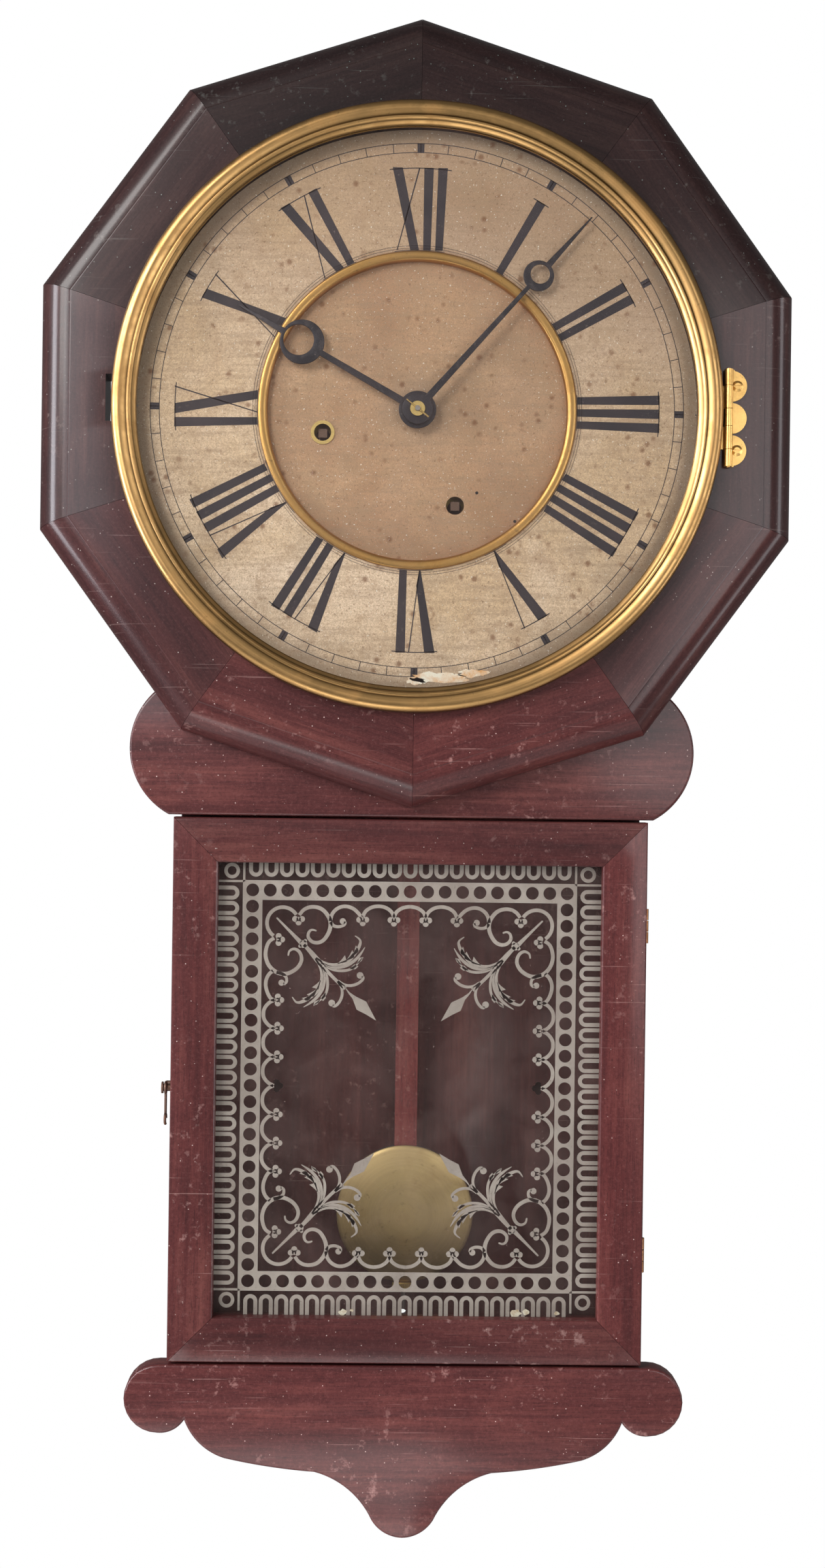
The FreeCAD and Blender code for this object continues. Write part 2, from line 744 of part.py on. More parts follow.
for k in range(6):
    across, up = polar(pin_circle, 60 * k)
    pin = Part.makeCylinder(0.45, s.dial_sheet + 0.6)
    pin.Placement = facing(across, dial_z + up, face - s.dial_recess - s.dial_sheet)
    dial_pins.append(pin)
keep(feature("dial_pins", Part.Compound(dial_pins)))

centre = rod("centre_blank", "centre_radius", "0", DIAL, (f"{SUNK_FRONT} - dial_sheet", SUNK_FRONT))
centre_holes = [rod("centre_arbor_hole", "5.2", "0", DIAL, (f"{SUNK_FRONT} - 3", f"{SUNK_FRONT} + 3"))]
for name, (across, up) in (("left", W1), ("right", W2)):
    spot = (str(across), f"{DIAL} + ({up})")
    centre_holes.append(
        rod(f"winding_hole_{name}", "winding_hole", *spot, (f"{SUNK_FRONT} - 3", f"{SUNK_FRONT} + 3"))
    )
keep(cut("dial_centre_plate", centre, *centre_holes))
flange = rod("ring_flange", "ring_outer", "0", DIAL, (DIAL_FRONT, f"{DIAL_FRONT} + dial_sheet"))
tube = rod("ring_tube", "dial_hole - 0.1", "0", DIAL, (SUNK_FRONT, DIAL_FRONT))
ring_bore = rod("ring_bore", "ring_inner", "0", DIAL, (f"{SUNK_FRONT} - 3", f"{DIAL_FRONT} + 3"))
keep(cut("dial_centre_ring", fuse("ring_blank", flange, tube), ring_bore))
grommet_spot = (str(W1[0]), f"{DIAL} + ({W1[1]})")
grommet = rod("grommet_blank", "grommet_radius", *grommet_spot, (SUNK_FRONT, f"{SUNK_FRONT} + 0.7"))
grommet_bore = rod(
    "grommet_bore", "winding_hole - 0.3", *grommet_spot, (f"{SUNK_FRONT} - 3", f"{SUNK_FRONT} + 3")
)
keep(cut("winding_grommet", grommet, grommet_bore))

# ---------------------------------------------------------------- movement
# Plan places are (across, up) from the dial centre. Wheels drive lantern pinions, whose pins sit
# on the pitch circle.
CENTRE = (0.0, 0.0)
SECOND = (-13.6, -28.96)
THIRD = (25.55, 17.2)
ESCAPE = (0.0, 22.0)
VERGE = (0.0, s.verge_rise)
STUD = polar(21.6, 210)
PILLARS = [(-64.0, 46.0), (54.0, 46.0), (58.0, -12.0), (-30.0, -70.0)]
BACKLASH = 0.1


def towards(start, end):
    """The angle of the line from one plan place to another, in degrees."""
    return math.degrees(math.atan2(end[1] - start[1], end[0] - start[0]))


def distance(start, end):
    return math.hypot(end[0] - start[0], end[1] - start[1])


def cylinder(place, radius, depth):
    made = Part.makeCylinder(radius, depth[1] - depth[0])
    made.Placement = facing(place[0], dial_z + place[1], depth[0])
    return made


def toothed(teeth, pitch_radius, pin, other_radius, thickness, bore, crossed=True):
    """A wheel for a lantern pinion: flanks follow the pins' epicycloid set off by the pin's radius."""
    gap = pin + BACKLASH
    module = 2 * pitch_radius / teeth
    ratio = (pitch_radius + other_radius) / other_radius

    def flank(roll):
        path = Vector(
            (pitch_radius + other_radius) * math.cos(roll) - other_radius * math.cos(ratio * roll),
            (pitch_radius + other_radius) * math.sin(roll) - other_radius * math.sin(ratio * roll),
            0,
        )
        along = Vector(-math.sin(roll) + math.sin(ratio * roll), math.cos(roll) - math.cos(ratio * roll), 0)
        if along.Length < 1e-6:
            return path + Vector(0, gap, 0)
        along.normalize()
        return path + Vector(-along.y, along.x, 0) * gap

    tip = pitch_radius + 0.8 * module
    low, high = 1e-3, 0.5
    for _ in range(40):
        middle = (low + high) / 2
        if flank(middle).Length < tip:
            low = middle
        else:
            high = middle
    knots = [Vector(pitch_radius, gap, 0), flank(0.55 * low), flank(low)]
    pitch = 2 * math.pi / teeth

    def around(point, turn, mirror=1):
        x, y = point.x, point.y * mirror
        return Vector(x * math.cos(turn) - y * math.sin(turn), x * math.sin(turn) + y * math.cos(turn), 0)

    edges = []
    for k in range(teeth):
        turn = k * pitch
        foot = around(Vector(pitch_radius - gap, 0, 0), turn)
        low_side, high_side = around(knots[0], turn, -1), around(knots[0], turn)
        rise = [around(knot, turn) for knot in knots]
        fall = [around(knot, turn + pitch, -1) for knot in reversed(knots)]
        edges += [
            Part.Arc(low_side, foot, high_side).toShape(),
            Part.Arc(*rise).toShape(),
            Part.makeLine(rise[2], fall[0]),
            Part.Arc(*fall).toShape(),
        ]
    wheel = Part.Face(Part.Wire(edges)).extrude(Vector(0, 0, thickness))
    if crossed:
        wheel = wheel.cut(
            crossings(0.78 * pitch_radius, 0.3 * pitch_radius, 0.16 * pitch_radius, thickness)
        )
    return wheel.cut(disc(bore, thickness)) if bore else wheel


def crossings(outer, inner, arm, thickness):
    """The four openings between a wheel's arms."""
    hollow = disc(outer, thickness).cut(disc(inner, thickness))
    bars = [Part.makeBox(2 * outer, arm, thickness, Vector(-outer, -arm / 2, 0))]
    bars.append(Part.makeBox(arm, 2 * outer, thickness, Vector(-arm / 2, -outer, 0)))
    return hollow.cut(bars[0].fuse(bars[1]))


def set_wheel(wheel, place, depth, phase):
    wheel.rotate(Vector(0, 0, 0), Vector(0, 0, 1), phase)
    wheel.Placement = facing(place[0], dial_z + place[1], depth).multiply(wheel.Placement)
    return wheel


def lantern(place, pins, pitch_radius, pin, span, phase, shroud=1.0, bore=0.0):
    """Pins between two shrouds; span is the depth between the shrouds' inner faces."""
    rim = pitch_radius + pin + 0.5
    whole = disc(rim, shroud, height=-shroud).fuse(disc(rim, shroud, height=span[1] - span[0]))
    bars = []
    for k in range(pins):
        across, up = polar(pitch_radius, phase + 360 * k / pins)
        bars.append(disc(pin, span[1] - span[0], across, up))
    whole = whole.fuse(bars)
    if bore:
        whole = whole.cut(disc(bore, 10 * span[1], height=-5 * span[1]))
    whole.Placement = facing(place[0], dial_z + place[1], span[0])
    return whole


def arbor(place, pivot_ends, body_ends):
    """A steel arbor with thinner pivots at both ends."""
    return cylinder(place, s.arbor_radius, body_ends).fuse(cylinder(place, s.pivot_radius, pivot_ends))


def mesh_phase(wheel, teeth, pinion, pins, pinion_phase):
    """The angle that puts a tooth space where the pinion's nearest pin lies."""
    line_angle = towards(pinion, wheel)
    step = 360 / pins
    offset = (pinion_phase - line_angle + step / 2) % step - step / 2
    return towards(wheel, pinion) - offset * pins / teeth


back, fore = s.movement_back, s.movement_front
back_face, fore_back = back + s.plate, fore - s.plate
# Wheel planes: each wheel's rear face, set from the plate it runs nearest to.
second_plane, escape_plane = back_face + 3.5, back_face + 8.8
third_plane, great_plane, centre_plane = fore_back - 13.7, fore_back - 9.2, fore_back - 3.7
minute_plane, hour_plane = fore + 2.6, fore + 7.2
bridge_plane = great_plane

through = (back + 0.4, fore - 0.4)
between = (back_face + 0.4, fore_back - 0.4)
run = s.fit


def plate_shape(depth, holes):
    blank = Part.makeBox(
        s.plate_left + s.plate_right,
        s.plate,
        s.plate_top + s.plate_foot,
        Vector(-s.plate_left, -depth - s.plate, dial_z - s.plate_foot),
    )
    tools = [cylinder(place, radius, (depth - 1, depth + s.plate + 1)) for place, radius in holes]
    return blank.cut(tools[0].fuse(tools[1:]))


pivots = [(place, s.pivot_radius + run) for place in (SECOND, THIRD)]
winding = [(W1, s.winding_arbor + run), (W2, s.winding_arbor + run)]
bolts = [(place, 1.6) for place in PILLARS]
back_pivots = [
    (CENTRE, s.pivot_radius + run), (ESCAPE, s.pivot_radius + run), (VERGE, s.arbor_radius + run)
]
back_holes = pivots + back_pivots + winding + bolts
fore_holes = pivots + [(CENTRE, s.arbor_radius + run), (VERGE, s.pivot_radius + run)] + winding + bolts
keep(feature("movement_back_plate", plate_shape(back, back_holes)))
stud = cylinder(STUD, 1.3, (fore - 1, fore + 11.5)).fuse(cylinder(STUD, 2.4, (fore - 1, fore + 0.9)))
bridge_post = (ESCAPE[0], ESCAPE[1] + s.bridge_reach)
bridge = slab([(-2.6, 0), (2.6, 0), (2.6, s.bridge_reach), (-2.6, s.bridge_reach)], s.plate)
bridge = bridge.fuse([disc(3.4, s.plate), disc(2.6, s.plate, 0, s.bridge_reach)]).cut(
    disc(s.pivot_radius + run, s.plate)
)
bridge = set_wheel(bridge, ESCAPE, bridge_plane, 0).fuse(
    cylinder(bridge_post, 2.6, (bridge_plane, fore_back + 0.5))
)
keep(feature("movement_front_plate", plate_shape(fore_back, fore_holes).fuse([stud, bridge])))
pillar_spans = ((s.backboard, back), (back_face, fore_back))
pillars = [cylinder(place, s.pillar_radius, span) for place in PILLARS for span in pillar_spans]
keep(feature("movement_pillars", Part.Compound(pillars)))
nuts = []
for place in PILLARS:
    bolt = cylinder(place, 1.5, (fore_back, fore + 3)).fuse(
        set_wheel(slab([polar(4.4, 60 * k) for k in range(6)], 2.4), place, fore, 0)
    )
    nuts.append(bolt)
keep(feature("pillar_nuts", Part.Compound(nuts)))


def spiral(place, depth):
    """A mainspring: a flat strip wound in half circles whose radius grows a half pitch at a time."""
    coils = 6
    pitch = (s.spring_outer - s.spring_inner) / coils
    edges_in, edges_out = [], []
    centre_x, radius = 0.0, s.spring_inner
    for k in range(2 * coils):
        sign = 1 if k % 2 == 0 else -1
        for edges, r in ((edges_in, radius), (edges_out, radius + s.spring_strip)):
            start, end = (centre_x + sign * r, 0), (centre_x - sign * r, 0)
            edges.append(arc(start, (centre_x, sign * r), end))
        centre_x += sign * pitch / 4
        radius += pitch / 4
    first_in, first_out = edges_in[0].Vertexes[0].Point, edges_out[0].Vertexes[0].Point
    last_in, last_out = edges_in[-1].Vertexes[-1].Point, edges_out[-1].Vertexes[-1].Point
    wires = edges_in + edges_out + [Part.makeLine(first_in, first_out), Part.makeLine(last_in, last_out)]
    strip = Part.Face(Part.Wire(Part.__sortEdges__(wires))).extrude(Vector(0, 0, depth[1] - depth[0]))
    strip.Placement = facing(place[0], dial_z + place[1], depth[0])
    return strip


keep(
    feature(
        "mainsprings",
        Part.Compound([spiral(place, (back_face + 7, fore_back - 10.5)) for place in (W1, W2)]),
    )
)

GREAT, SECOND_WHEEL, CENTRE_WHEEL, THIRD_WHEEL = 80, 72, 80, 72
PINS = 8
great_radius = distance(W1, SECOND) * GREAT / (GREAT + PINS)
second_radius = distance(SECOND, CENTRE) * SECOND_WHEEL / (SECOND_WHEEL + PINS)
centre_radius = distance(CENTRE, THIRD) * CENTRE_WHEEL / (CENTRE_WHEEL + PINS)
third_radius = distance(THIRD, ESCAPE) * THIRD_WHEEL / (THIRD_WHEEL + PINS)


def pin_size(wheel_radius, teeth):
    """The pin's radius, a share of the circular pitch."""
    return 0.23 * 2 * math.pi * wheel_radius / teeth


great_pin, second_pin = pin_size(great_radius, GREAT), pin_size(second_radius, SECOND_WHEEL)
centre_pin, third_pin = pin_size(centre_radius, CENTRE_WHEEL), pin_size(third_radius, THIRD_WHEEL)
second_phase = towards(SECOND, W1)
centre_phase = towards(CENTRE, SECOND)
third_phase = towards(THIRD, CENTRE)
escape_phase = towards(ESCAPE, THIRD)

ratchet_plane = great_plane + 2.5
RATCHET_TEETH, RATCHET_RADIUS = 24, 12.0


def ratchet(teeth, radius, deep, thickness):
    """Saw teeth: a radial face and a straight back."""
    points = []
    for k in range(teeth):
        points.append(polar(radius - deep, 360 * k / teeth))
        points.append(polar(radius, 360 * k / teeth))
    return slab(points, thickness)


for name, place in (("left", W1), ("right", W2)):
    phase = mesh_phase(place, GREAT, SECOND, PINS, second_phase)
    wheel = toothed(
        GREAT,
        great_radius,
        great_pin,
        great_radius * PINS / GREAT,
        2.2,
        s.winding_arbor + run,
        crossed=False,
    )
    wheel = set_wheel(wheel, place, great_plane, phase)
    tooth = 360 / RATCHET_TEETH
    click_points = [
        polar(RATCHET_RADIUS + 1.6, -0.35 * tooth),
        polar(RATCHET_RADIUS - 0.5, -0.40 * tooth),
        polar(RATCHET_RADIUS + 0.35, -0.12 * tooth),
        polar(RATCHET_RADIUS + 6.5, 34),
        polar(RATCHET_RADIUS + 10.5, 36),
        polar(RATCHET_RADIUS + 9.5, 24),
    ]
    click = slab(click_points, 1.5)
    click = set_wheel(click, place, ratchet_plane - 0.3, -0.12 * tooth)
    keep(feature(f"great_wheel_{name}", wheel.fuse(click)))
    barrel = cylinder(place, s.winding_arbor, (back + 0.4, fore + 1.5))
    square = Part.makeBox(5.0, 5.0, 9.5, Vector(-2.5, -2.5, 0))
    square.Placement = facing(place[0], dial_z + place[1], fore + 1.5)
    teeth = set_wheel(ratchet(RATCHET_TEETH, RATCHET_RADIUS, 1.3, 1.7), place, ratchet_plane, 0)
    keep(feature(f"winding_arbor_{name}", barrel.fuse([square, teeth])))

whole = arbor(SECOND, through, between)
pieces = [
    lantern(
        SECOND,
        PINS,
        great_radius * PINS / GREAT,
        great_pin,
        (great_plane - 1.0, great_plane + 3.2),
        second_phase,
    ),
    set_wheel(
        toothed(SECOND_WHEEL, second_radius, second_pin, second_radius * PINS / SECOND_WHEEL, 1.5, 0),
        SECOND, second_plane, mesh_phase(SECOND, SECOND_WHEEL, CENTRE, PINS, centre_phase),
    ),
]
keep(feature("second_wheel", whole.fuse(pieces)))

hand_base = face - s.dial_recess
minute_depth = hand_base + 4.2
washer_depth = minute_depth + s.hand_sheet + 0.4
washer_thick = 0.8
centre_end = hand_base + 7.9


def taper_pin(gap):
    pin = Part.makeCone(0.55 + gap, 0.35 + gap, 16.0, Vector(0, 0, -8), Vector(0, 0, 1))
    pin.rotate(Vector(0, 0, 0), Vector(0, 1, 0), -52)
    pin.translate(Vector(0, -washer_depth - washer_thick - 0.56, dial_z))
    return pin


whole = cylinder(CENTRE, s.arbor_radius, (back_face + 0.4, centre_end)).fuse(
    cylinder(CENTRE, s.pivot_radius, (back + 0.4, fore))
)
pieces = [
    lantern(
        CENTRE,
        PINS,
        second_radius * PINS / SECOND_WHEEL,
        second_pin,
        (second_plane - 1.0, second_plane + 2.5),
        centre_phase,
    ),
    set_wheel(
        toothed(CENTRE_WHEEL, centre_radius, centre_pin, centre_radius * PINS / CENTRE_WHEEL, 1.2, 0),
        CENTRE, centre_plane, mesh_phase(CENTRE, CENTRE_WHEEL, THIRD, PINS, third_phase),
    ),
]
keep(feature("centre_wheel", whole.fuse(pieces).cut(taper_pin(s.fit))))

whole = arbor(THIRD, through, between)
pieces = [
    lantern(
        THIRD, PINS, centre_radius * PINS / CENTRE_WHEEL, centre_pin, (
            centre_plane - 1.0, centre_plane + 2.0
        ), third_phase, shroud=0.8
    ),
    set_wheel(
        toothed(THIRD_WHEEL, third_radius, third_pin, third_radius * PINS / THIRD_WHEEL, 1.2, 0),
        THIRD, third_plane, mesh_phase(THIRD, THIRD_WHEEL, ESCAPE, PINS, escape_phase),
    ),
]
keep(feature("third_wheel", whole.fuse(pieces)))


def escape_teeth(teeth, radius, thickness):
    """Thin pointed teeth with one radial face, for a recoil anchor."""
    points = []
    for k in range(teeth):
        turn = 360 * k / teeth
        points += [polar(0.78 * radius, turn - 2.0), polar(radius, turn - 0.4), polar(radius, turn + 0.4)]
        points.append(polar(0.78 * radius, turn + 5.0))
    wheel = slab(points, thickness)
    return wheel.cut(crossings(0.64 * radius, 0.26 * radius, 0.16 * radius, thickness))


whole = arbor(ESCAPE, (through[0], bridge_plane + s.plate - 0.3), (between[0], bridge_plane - 0.4))
pieces = [
    lantern(
        ESCAPE, PINS, third_radius * PINS / THIRD_WHEEL, third_pin, (
            third_plane - 1.0, third_plane + 2.4
        ), escape_phase, shroud=0.8
    ),
    set_wheel(escape_teeth(28, s.escape_radius, 1.2), ESCAPE, escape_plane, 0),
]
keep(feature("escape_wheel", whole.fuse(pieces)))


def anchor_shape():
    """A bent strip whose two nibs stand just outside the escape wheel's tips at mid swing."""
    drop = s.verge_rise - ESCAPE[1]
    clear = s.escape_radius + 1.35
    nib = polar(clear, 45)
    nib = (nib[0], nib[1] - drop)
    points = [
        (0, 2.6), (7.5, 1.4), (nib[0] + 3.0, nib[1] + 3.4), (nib[0] + 1.2, nib[1] - 0.6), (nib[0], nib[1])
    ]
    points += [(nib[0] + 0.4, nib[1] + 2.2), (6.6, -1.6), (0, -2.6)]
    outline = points + [(-x, y) for x, y in reversed(points[1:-1])]
    return slab(outline, 2.0)


CRUTCH_REACH = 76.0
CRUTCH_DEPTH = (45.6, 47.4)
slot = s.rod_width / 2 + s.rod_clearance
verge_z = dial_z + s.verge_rise


def crutch_shape():
    """A hub on the verge arbor, a wire down, and a fork back round the pendulum rod."""
    hub = cylinder(VERGE, 4.0, CRUTCH_DEPTH)
    wire = Part.makeCylinder(0.9, CRUTCH_REACH - 3.0, Vector(0, -46.5, verge_z - CRUTCH_REACH))
    low = verge_z - CRUTCH_REACH - 1.5
    bar = Part.makeBox(2 * slot + 3, 1.8, 3, Vector(-slot - 1.5, -CRUTCH_DEPTH[1], low))
    reach = CRUTCH_DEPTH[1] - 24.0
    prongs = [Part.makeBox(1.5, reach, 3, Vector(x, -CRUTCH_DEPTH[1], low)) for x in (-slot - 1.5, slot)]
    return hub.fuse([wire, bar] + prongs)


verge = cylinder(VERGE, s.arbor_radius, (42.0, between[1]))
verge_pieces = [
    cylinder(VERGE, s.pivot_radius, (back, through[1])), set_wheel(
        anchor_shape(), VERGE, escape_plane - 0.4, 0
    )
]
keep(feature("verge_and_crutch", verge.fuse(verge_pieces + [crutch_shape()])))

# Cock: an arm back from the plate and two ears that hold the pendulum's cross pin on the verge's own axis.
hang_depth = s.pendulum_depth
ear_spans = [(hang_depth - 5.5, hang_depth - 3.5), (hang_depth + 3.5, hang_depth + 5.5)]


def cock_shape():
    arm_low, arm_high = 7.0, 11.0
    arm = Part.makeBox(14, back - ear_spans[0][0], arm_high - arm_low, Vector(-7, -back, verge_z + arm_low))
    ears = [
        Part.makeBox(
            9, high - low, arm_high + 3.5, Vector(-4.5, -high, verge_z - 3.5)
        ) for low, high in ear_spans
    ]
    bores = [cylinder(VERGE, 0.9 + run, (low - 1, high + 1)) for low, high in ear_spans]
    return arm.fuse(ears).cut(bores[0].fuse(bores[1]))


keep(feature("suspension_cock", cock_shape()))

# ---------------------------------------------------------------- motion work and hands
MOTION_CANNON, MOTION_WHEEL, MOTION_PINION = 12, 36, 9
cannon_radius = distance(CENTRE, STUD) * MOTION_CANNON / (MOTION_CANNON + MOTION_WHEEL)
minute_radius = distance(CENTRE, STUD) - cannon_radius
pinion_radius = distance(CENTRE, STUD) * MOTION_PINION / (MOTION_PINION + MOTION_WHEEL)
hour_radius = distance(CENTRE, STUD) - pinion_radius
cannon_pin, pinion_pin = pin_size(minute_radius, MOTION_WHEEL), pin_size(hour_radius, MOTION_WHEEL)
pipe = 2.6
hour_depth = hand_base + 1.6
cannon = cylinder(CENTRE, pipe, (fore + 0.4, minute_depth + s.hand_sheet + 0.4))
cannon_span = (minute_plane - 0.8, minute_plane + 2.0)
cannon_lantern = lantern(
    CENTRE, MOTION_CANNON, cannon_radius, cannon_pin, cannon_span, towards(CENTRE, STUD), shroud=0.8
)
cannon = cannon.fuse(cannon_lantern).cut(cylinder(CENTRE, s.arbor_radius + run, (80, 130)))
keep(feature("cannon_pinion", cannon))

minute_phase = mesh_phase(STUD, MOTION_WHEEL, CENTRE, MOTION_CANNON, towards(CENTRE, STUD))
minute = set_wheel(
    toothed(MOTION_WHEEL, minute_radius, cannon_pin, cannon_radius, 1.2, 0), STUD, minute_plane, minute_phase
)
minute_span = (hour_plane - 0.9, hour_plane + 2.1)
minute_lantern = lantern(
    STUD, MOTION_PINION, pinion_radius, pinion_pin, minute_span, towards(STUD, CENTRE), shroud=0.8
)
collar = cylinder(STUD, 3.2, (minute_plane - 1.1, hour_plane - 1.7))
keep(
    feature("minute_wheel", minute.fuse([minute_lantern, collar]).cut(cylinder(STUD, 1.3 + run, (80, 120))))
)

hour_phase = mesh_phase(CENTRE, MOTION_WHEEL, STUD, MOTION_PINION, towards(STUD, CENTRE))
hour = set_wheel(
    toothed(MOTION_WHEEL, hour_radius, pinion_pin, pinion_radius, 1.2, 0), CENTRE, hour_plane, hour_phase
)
hour = hour.fuse(cylinder(CENTRE, 4.3, (hour_plane - 0.7, hour_depth + s.hand_sheet + 0.4)))
keep(feature("hour_wheel", hour.cut(cylinder(CENTRE, pipe + run, (80, 130)))))


def moon_hand(reach, boss, arm, ring_at, ring, hole, shift, bore):
    """A moon hand drawn pointing up: boss, tapering arm, ring with an offset hole, and a tapering point."""
    shaft = slab(
        [(-arm[0] / 2, 0), (arm[0] / 2, 0), (arm[1] / 2, ring_at), (-arm[1] / 2, ring_at)], s.hand_sheet
    )
    point = slab(
        [(-1.8, ring_at + ring - 1.5), (1.8, ring_at + ring - 1.5), (0.2, reach), (-0.2, reach)],
        s.hand_sheet,
    )
    moon = disc(ring, s.hand_sheet, 0, ring_at)
    whole = shaft.fuse([point, moon, disc(boss, s.hand_sheet)])
    return whole.cut(disc(hole, s.hand_sheet, 0, ring_at + shift)).cut(disc(bore, s.hand_sheet))


MINUTE_ANGLE, HOUR_ANGLE = 41.5, 299.5
minute_hand = moon_hand(s.minute_hand_reach, 8.75, (4.0, 2.4), 102.4, 8.75, 5.5, 1.3, pipe)
keep(feature("minute_hand", set_wheel(minute_hand, CENTRE, minute_depth, -MINUTE_ANGLE)))
hour_hand = moon_hand(s.hour_hand_reach, 10.7, (4.0, 3.3), 76.0, 12.7, 8.7, 2.3, 4.3)
keep(feature("hour_hand", set_wheel(hour_hand, CENTRE, hour_depth, -HOUR_ANGLE)))
washer = cylinder(CENTRE, 4.2, (washer_depth, washer_depth + washer_thick))
washer = washer.cut(cylinder(CENTRE, s.arbor_radius + run, (80, 130)))
keep(feature("hand_washer_and_pin", Part.Compound([washer, taper_pin(0)])))

# ---------------------------------------------------------------- pendulum
bob_z = verge_z - s.pendulum_length
rod_foot = bob_z - 0.6 * s.bob_radius
rod_top = verge_z - s.suspension_length
ROD_FRONT = s.pendulum_depth + s.rod_thickness / 2


def block(half, depth, low, high):
    return Part.makeBox(2 * half, depth[1] - depth[0], high - low, Vector(-half, -depth[1], low))


hanger_block = block(3.2, (hang_depth - 3.2, hang_depth + 3.2), verge_z - 4.0, verge_z + 3.0)
ribbon = block(2.6, (hang_depth - 0.2, hang_depth + 0.2), rod_top + 1.0, verge_z - 4.0)
cross_pin = cylinder(VERGE, 0.9, (hang_depth - 6.2, hang_depth + 6.2))
keep(feature("suspension_spring", hanger_block.fuse([ribbon, cross_pin])))
wood = block(s.rod_width / 2, (ROD_FRONT - s.rod_thickness, ROD_FRONT), rod_foot, rod_top + 8.0)
slit = block(3.0, (hang_depth - 0.25, hang_depth + 0.25), rod_top + 1.0, rod_top + 9.0)
keep(feature("pendulum_rod", wood.cut(slit)))
screw_foot = bob_z - s.bob_radius - s.nut_height - 12.0
keep(
    feature(
        "rating_screw",
        Part.makeCylinder(1.5, rod_foot - screw_foot, Vector(0, -s.pendulum_depth, screw_foot)),
    ),
)
nut_top = bob_z - s.bob_radius - 0.3
nut = Part.makeCylinder(s.nut_radius, s.nut_height, Vector(0, -s.pendulum_depth, nut_top - s.nut_height))
nut = nut.cut(Part.makeCylinder(1.5 + run, 50, Vector(0, -s.pendulum_depth, nut_top - 30)))
keep(feature("rating_nut", nut))

bob_back = s.pendulum_depth - s.bob_thickness / 2
weight_front = s.pendulum_depth + s.bob_thickness / 2 - 3.4
channel_half = s.rod_width / 2 + s.rod_clearance
channel_depth = (ROD_FRONT - s.rod_thickness - 0.4, ROD_FRONT + 0.4)
weight = Part.makeCylinder(s.bob_radius - 1.5, weight_front - bob_back)
weight.Placement = facing(0, bob_z, bob_back)
weight = weight.cut(block(channel_half, channel_depth, bob_z - 60, bob_z + 60))
keep(feature("bob_weight", weight))


def shell_shape():
    """A domed cover with a lip round the weight's edge."""
    dome_height = 5.0
    ball = (s.bob_radius**2 + dome_height**2) / (2 * dome_height)
    base = weight_front + 0.1
    dome = Part.makeSphere(ball, Vector(0, -base - dome_height + ball, bob_z))
    blank = Part.makeCylinder(s.bob_radius, dome_height + 1.2)
    blank.Placement = facing(0, bob_z, base)
    lip = Part.makeCylinder(s.bob_radius, 2.5).cut(disc(s.bob_radius - 1.1, 2.5))
    lip.Placement = facing(0, bob_z, base - 1.3)
    return blank.common(dome).fuse(lip)


keep(feature("bob_shell", shell_shape()))

# ---------------------------------------------------------------- write
doc.recompute()
for item in doc.Objects:
    faults = {"Invalid", "Error"} & set(item.State)
    if faults:
        raise RuntimeError(f"{item.Name}: {sorted(faults)}")
os.makedirs("parts", exist_ok=True)
for made in parts:
    if made.Shape.isNull() or not made.Shape.isValid():
        raise RuntimeError(f"{made.Name} has no valid shape")
    made.Shape.exportStep(f"parts/{made.Label}.step")
print(len(parts), "sub-parts")
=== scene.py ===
import bpy, bmesh, math, random
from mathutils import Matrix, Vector


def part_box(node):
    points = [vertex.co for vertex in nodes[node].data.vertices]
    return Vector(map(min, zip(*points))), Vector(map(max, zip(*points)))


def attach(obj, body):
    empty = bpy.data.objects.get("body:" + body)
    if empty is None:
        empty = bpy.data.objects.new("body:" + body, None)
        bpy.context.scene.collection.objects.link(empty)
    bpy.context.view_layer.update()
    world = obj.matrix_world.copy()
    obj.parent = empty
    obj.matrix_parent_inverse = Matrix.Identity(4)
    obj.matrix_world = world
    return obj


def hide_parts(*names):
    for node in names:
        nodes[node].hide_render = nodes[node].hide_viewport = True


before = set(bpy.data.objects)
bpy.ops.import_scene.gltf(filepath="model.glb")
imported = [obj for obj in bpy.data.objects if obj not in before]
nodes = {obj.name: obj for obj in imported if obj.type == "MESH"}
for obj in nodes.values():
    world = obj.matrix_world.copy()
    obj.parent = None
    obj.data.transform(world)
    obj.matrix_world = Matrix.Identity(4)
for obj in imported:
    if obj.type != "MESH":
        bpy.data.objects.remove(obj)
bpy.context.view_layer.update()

mm = 0.001
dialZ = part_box("dial_chapter_plate")[0].z / 2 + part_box("dial_chapter_plate")[1].z / 2
print("frame loaded, dial centre at", round(dialZ, 4))


# shader expressions: a wrapped socket that takes part in sums
class Wire:
    def __init__(self, net, socket):
        self.net, self.socket = net, socket

    def math(self, operation, other=None, swapped=False):
        values = [self, other] if not swapped else [other, self]
        values = values if other is not None else [self]
        return self.net.add("ShaderNodeMath", {"operation": operation}, dict(enumerate(values)))

    def __add__(self, other): return self.math("ADD", other)
    def __radd__(self, other): return self.math("ADD", other)
    def __sub__(self, other): return self.math("SUBTRACT", other)
    def __rsub__(self, other): return self.math("SUBTRACT", other, True)
    def __mul__(self, other): return self.math("MULTIPLY", other)
    def __rmul__(self, other): return self.math("MULTIPLY", other)
    def __truediv__(self, other): return self.math("DIVIDE", other)
    def __gt__(self, other): return self.math("GREATER_THAN", other)
    def __lt__(self, other): return self.math("LESS_THAN", other)


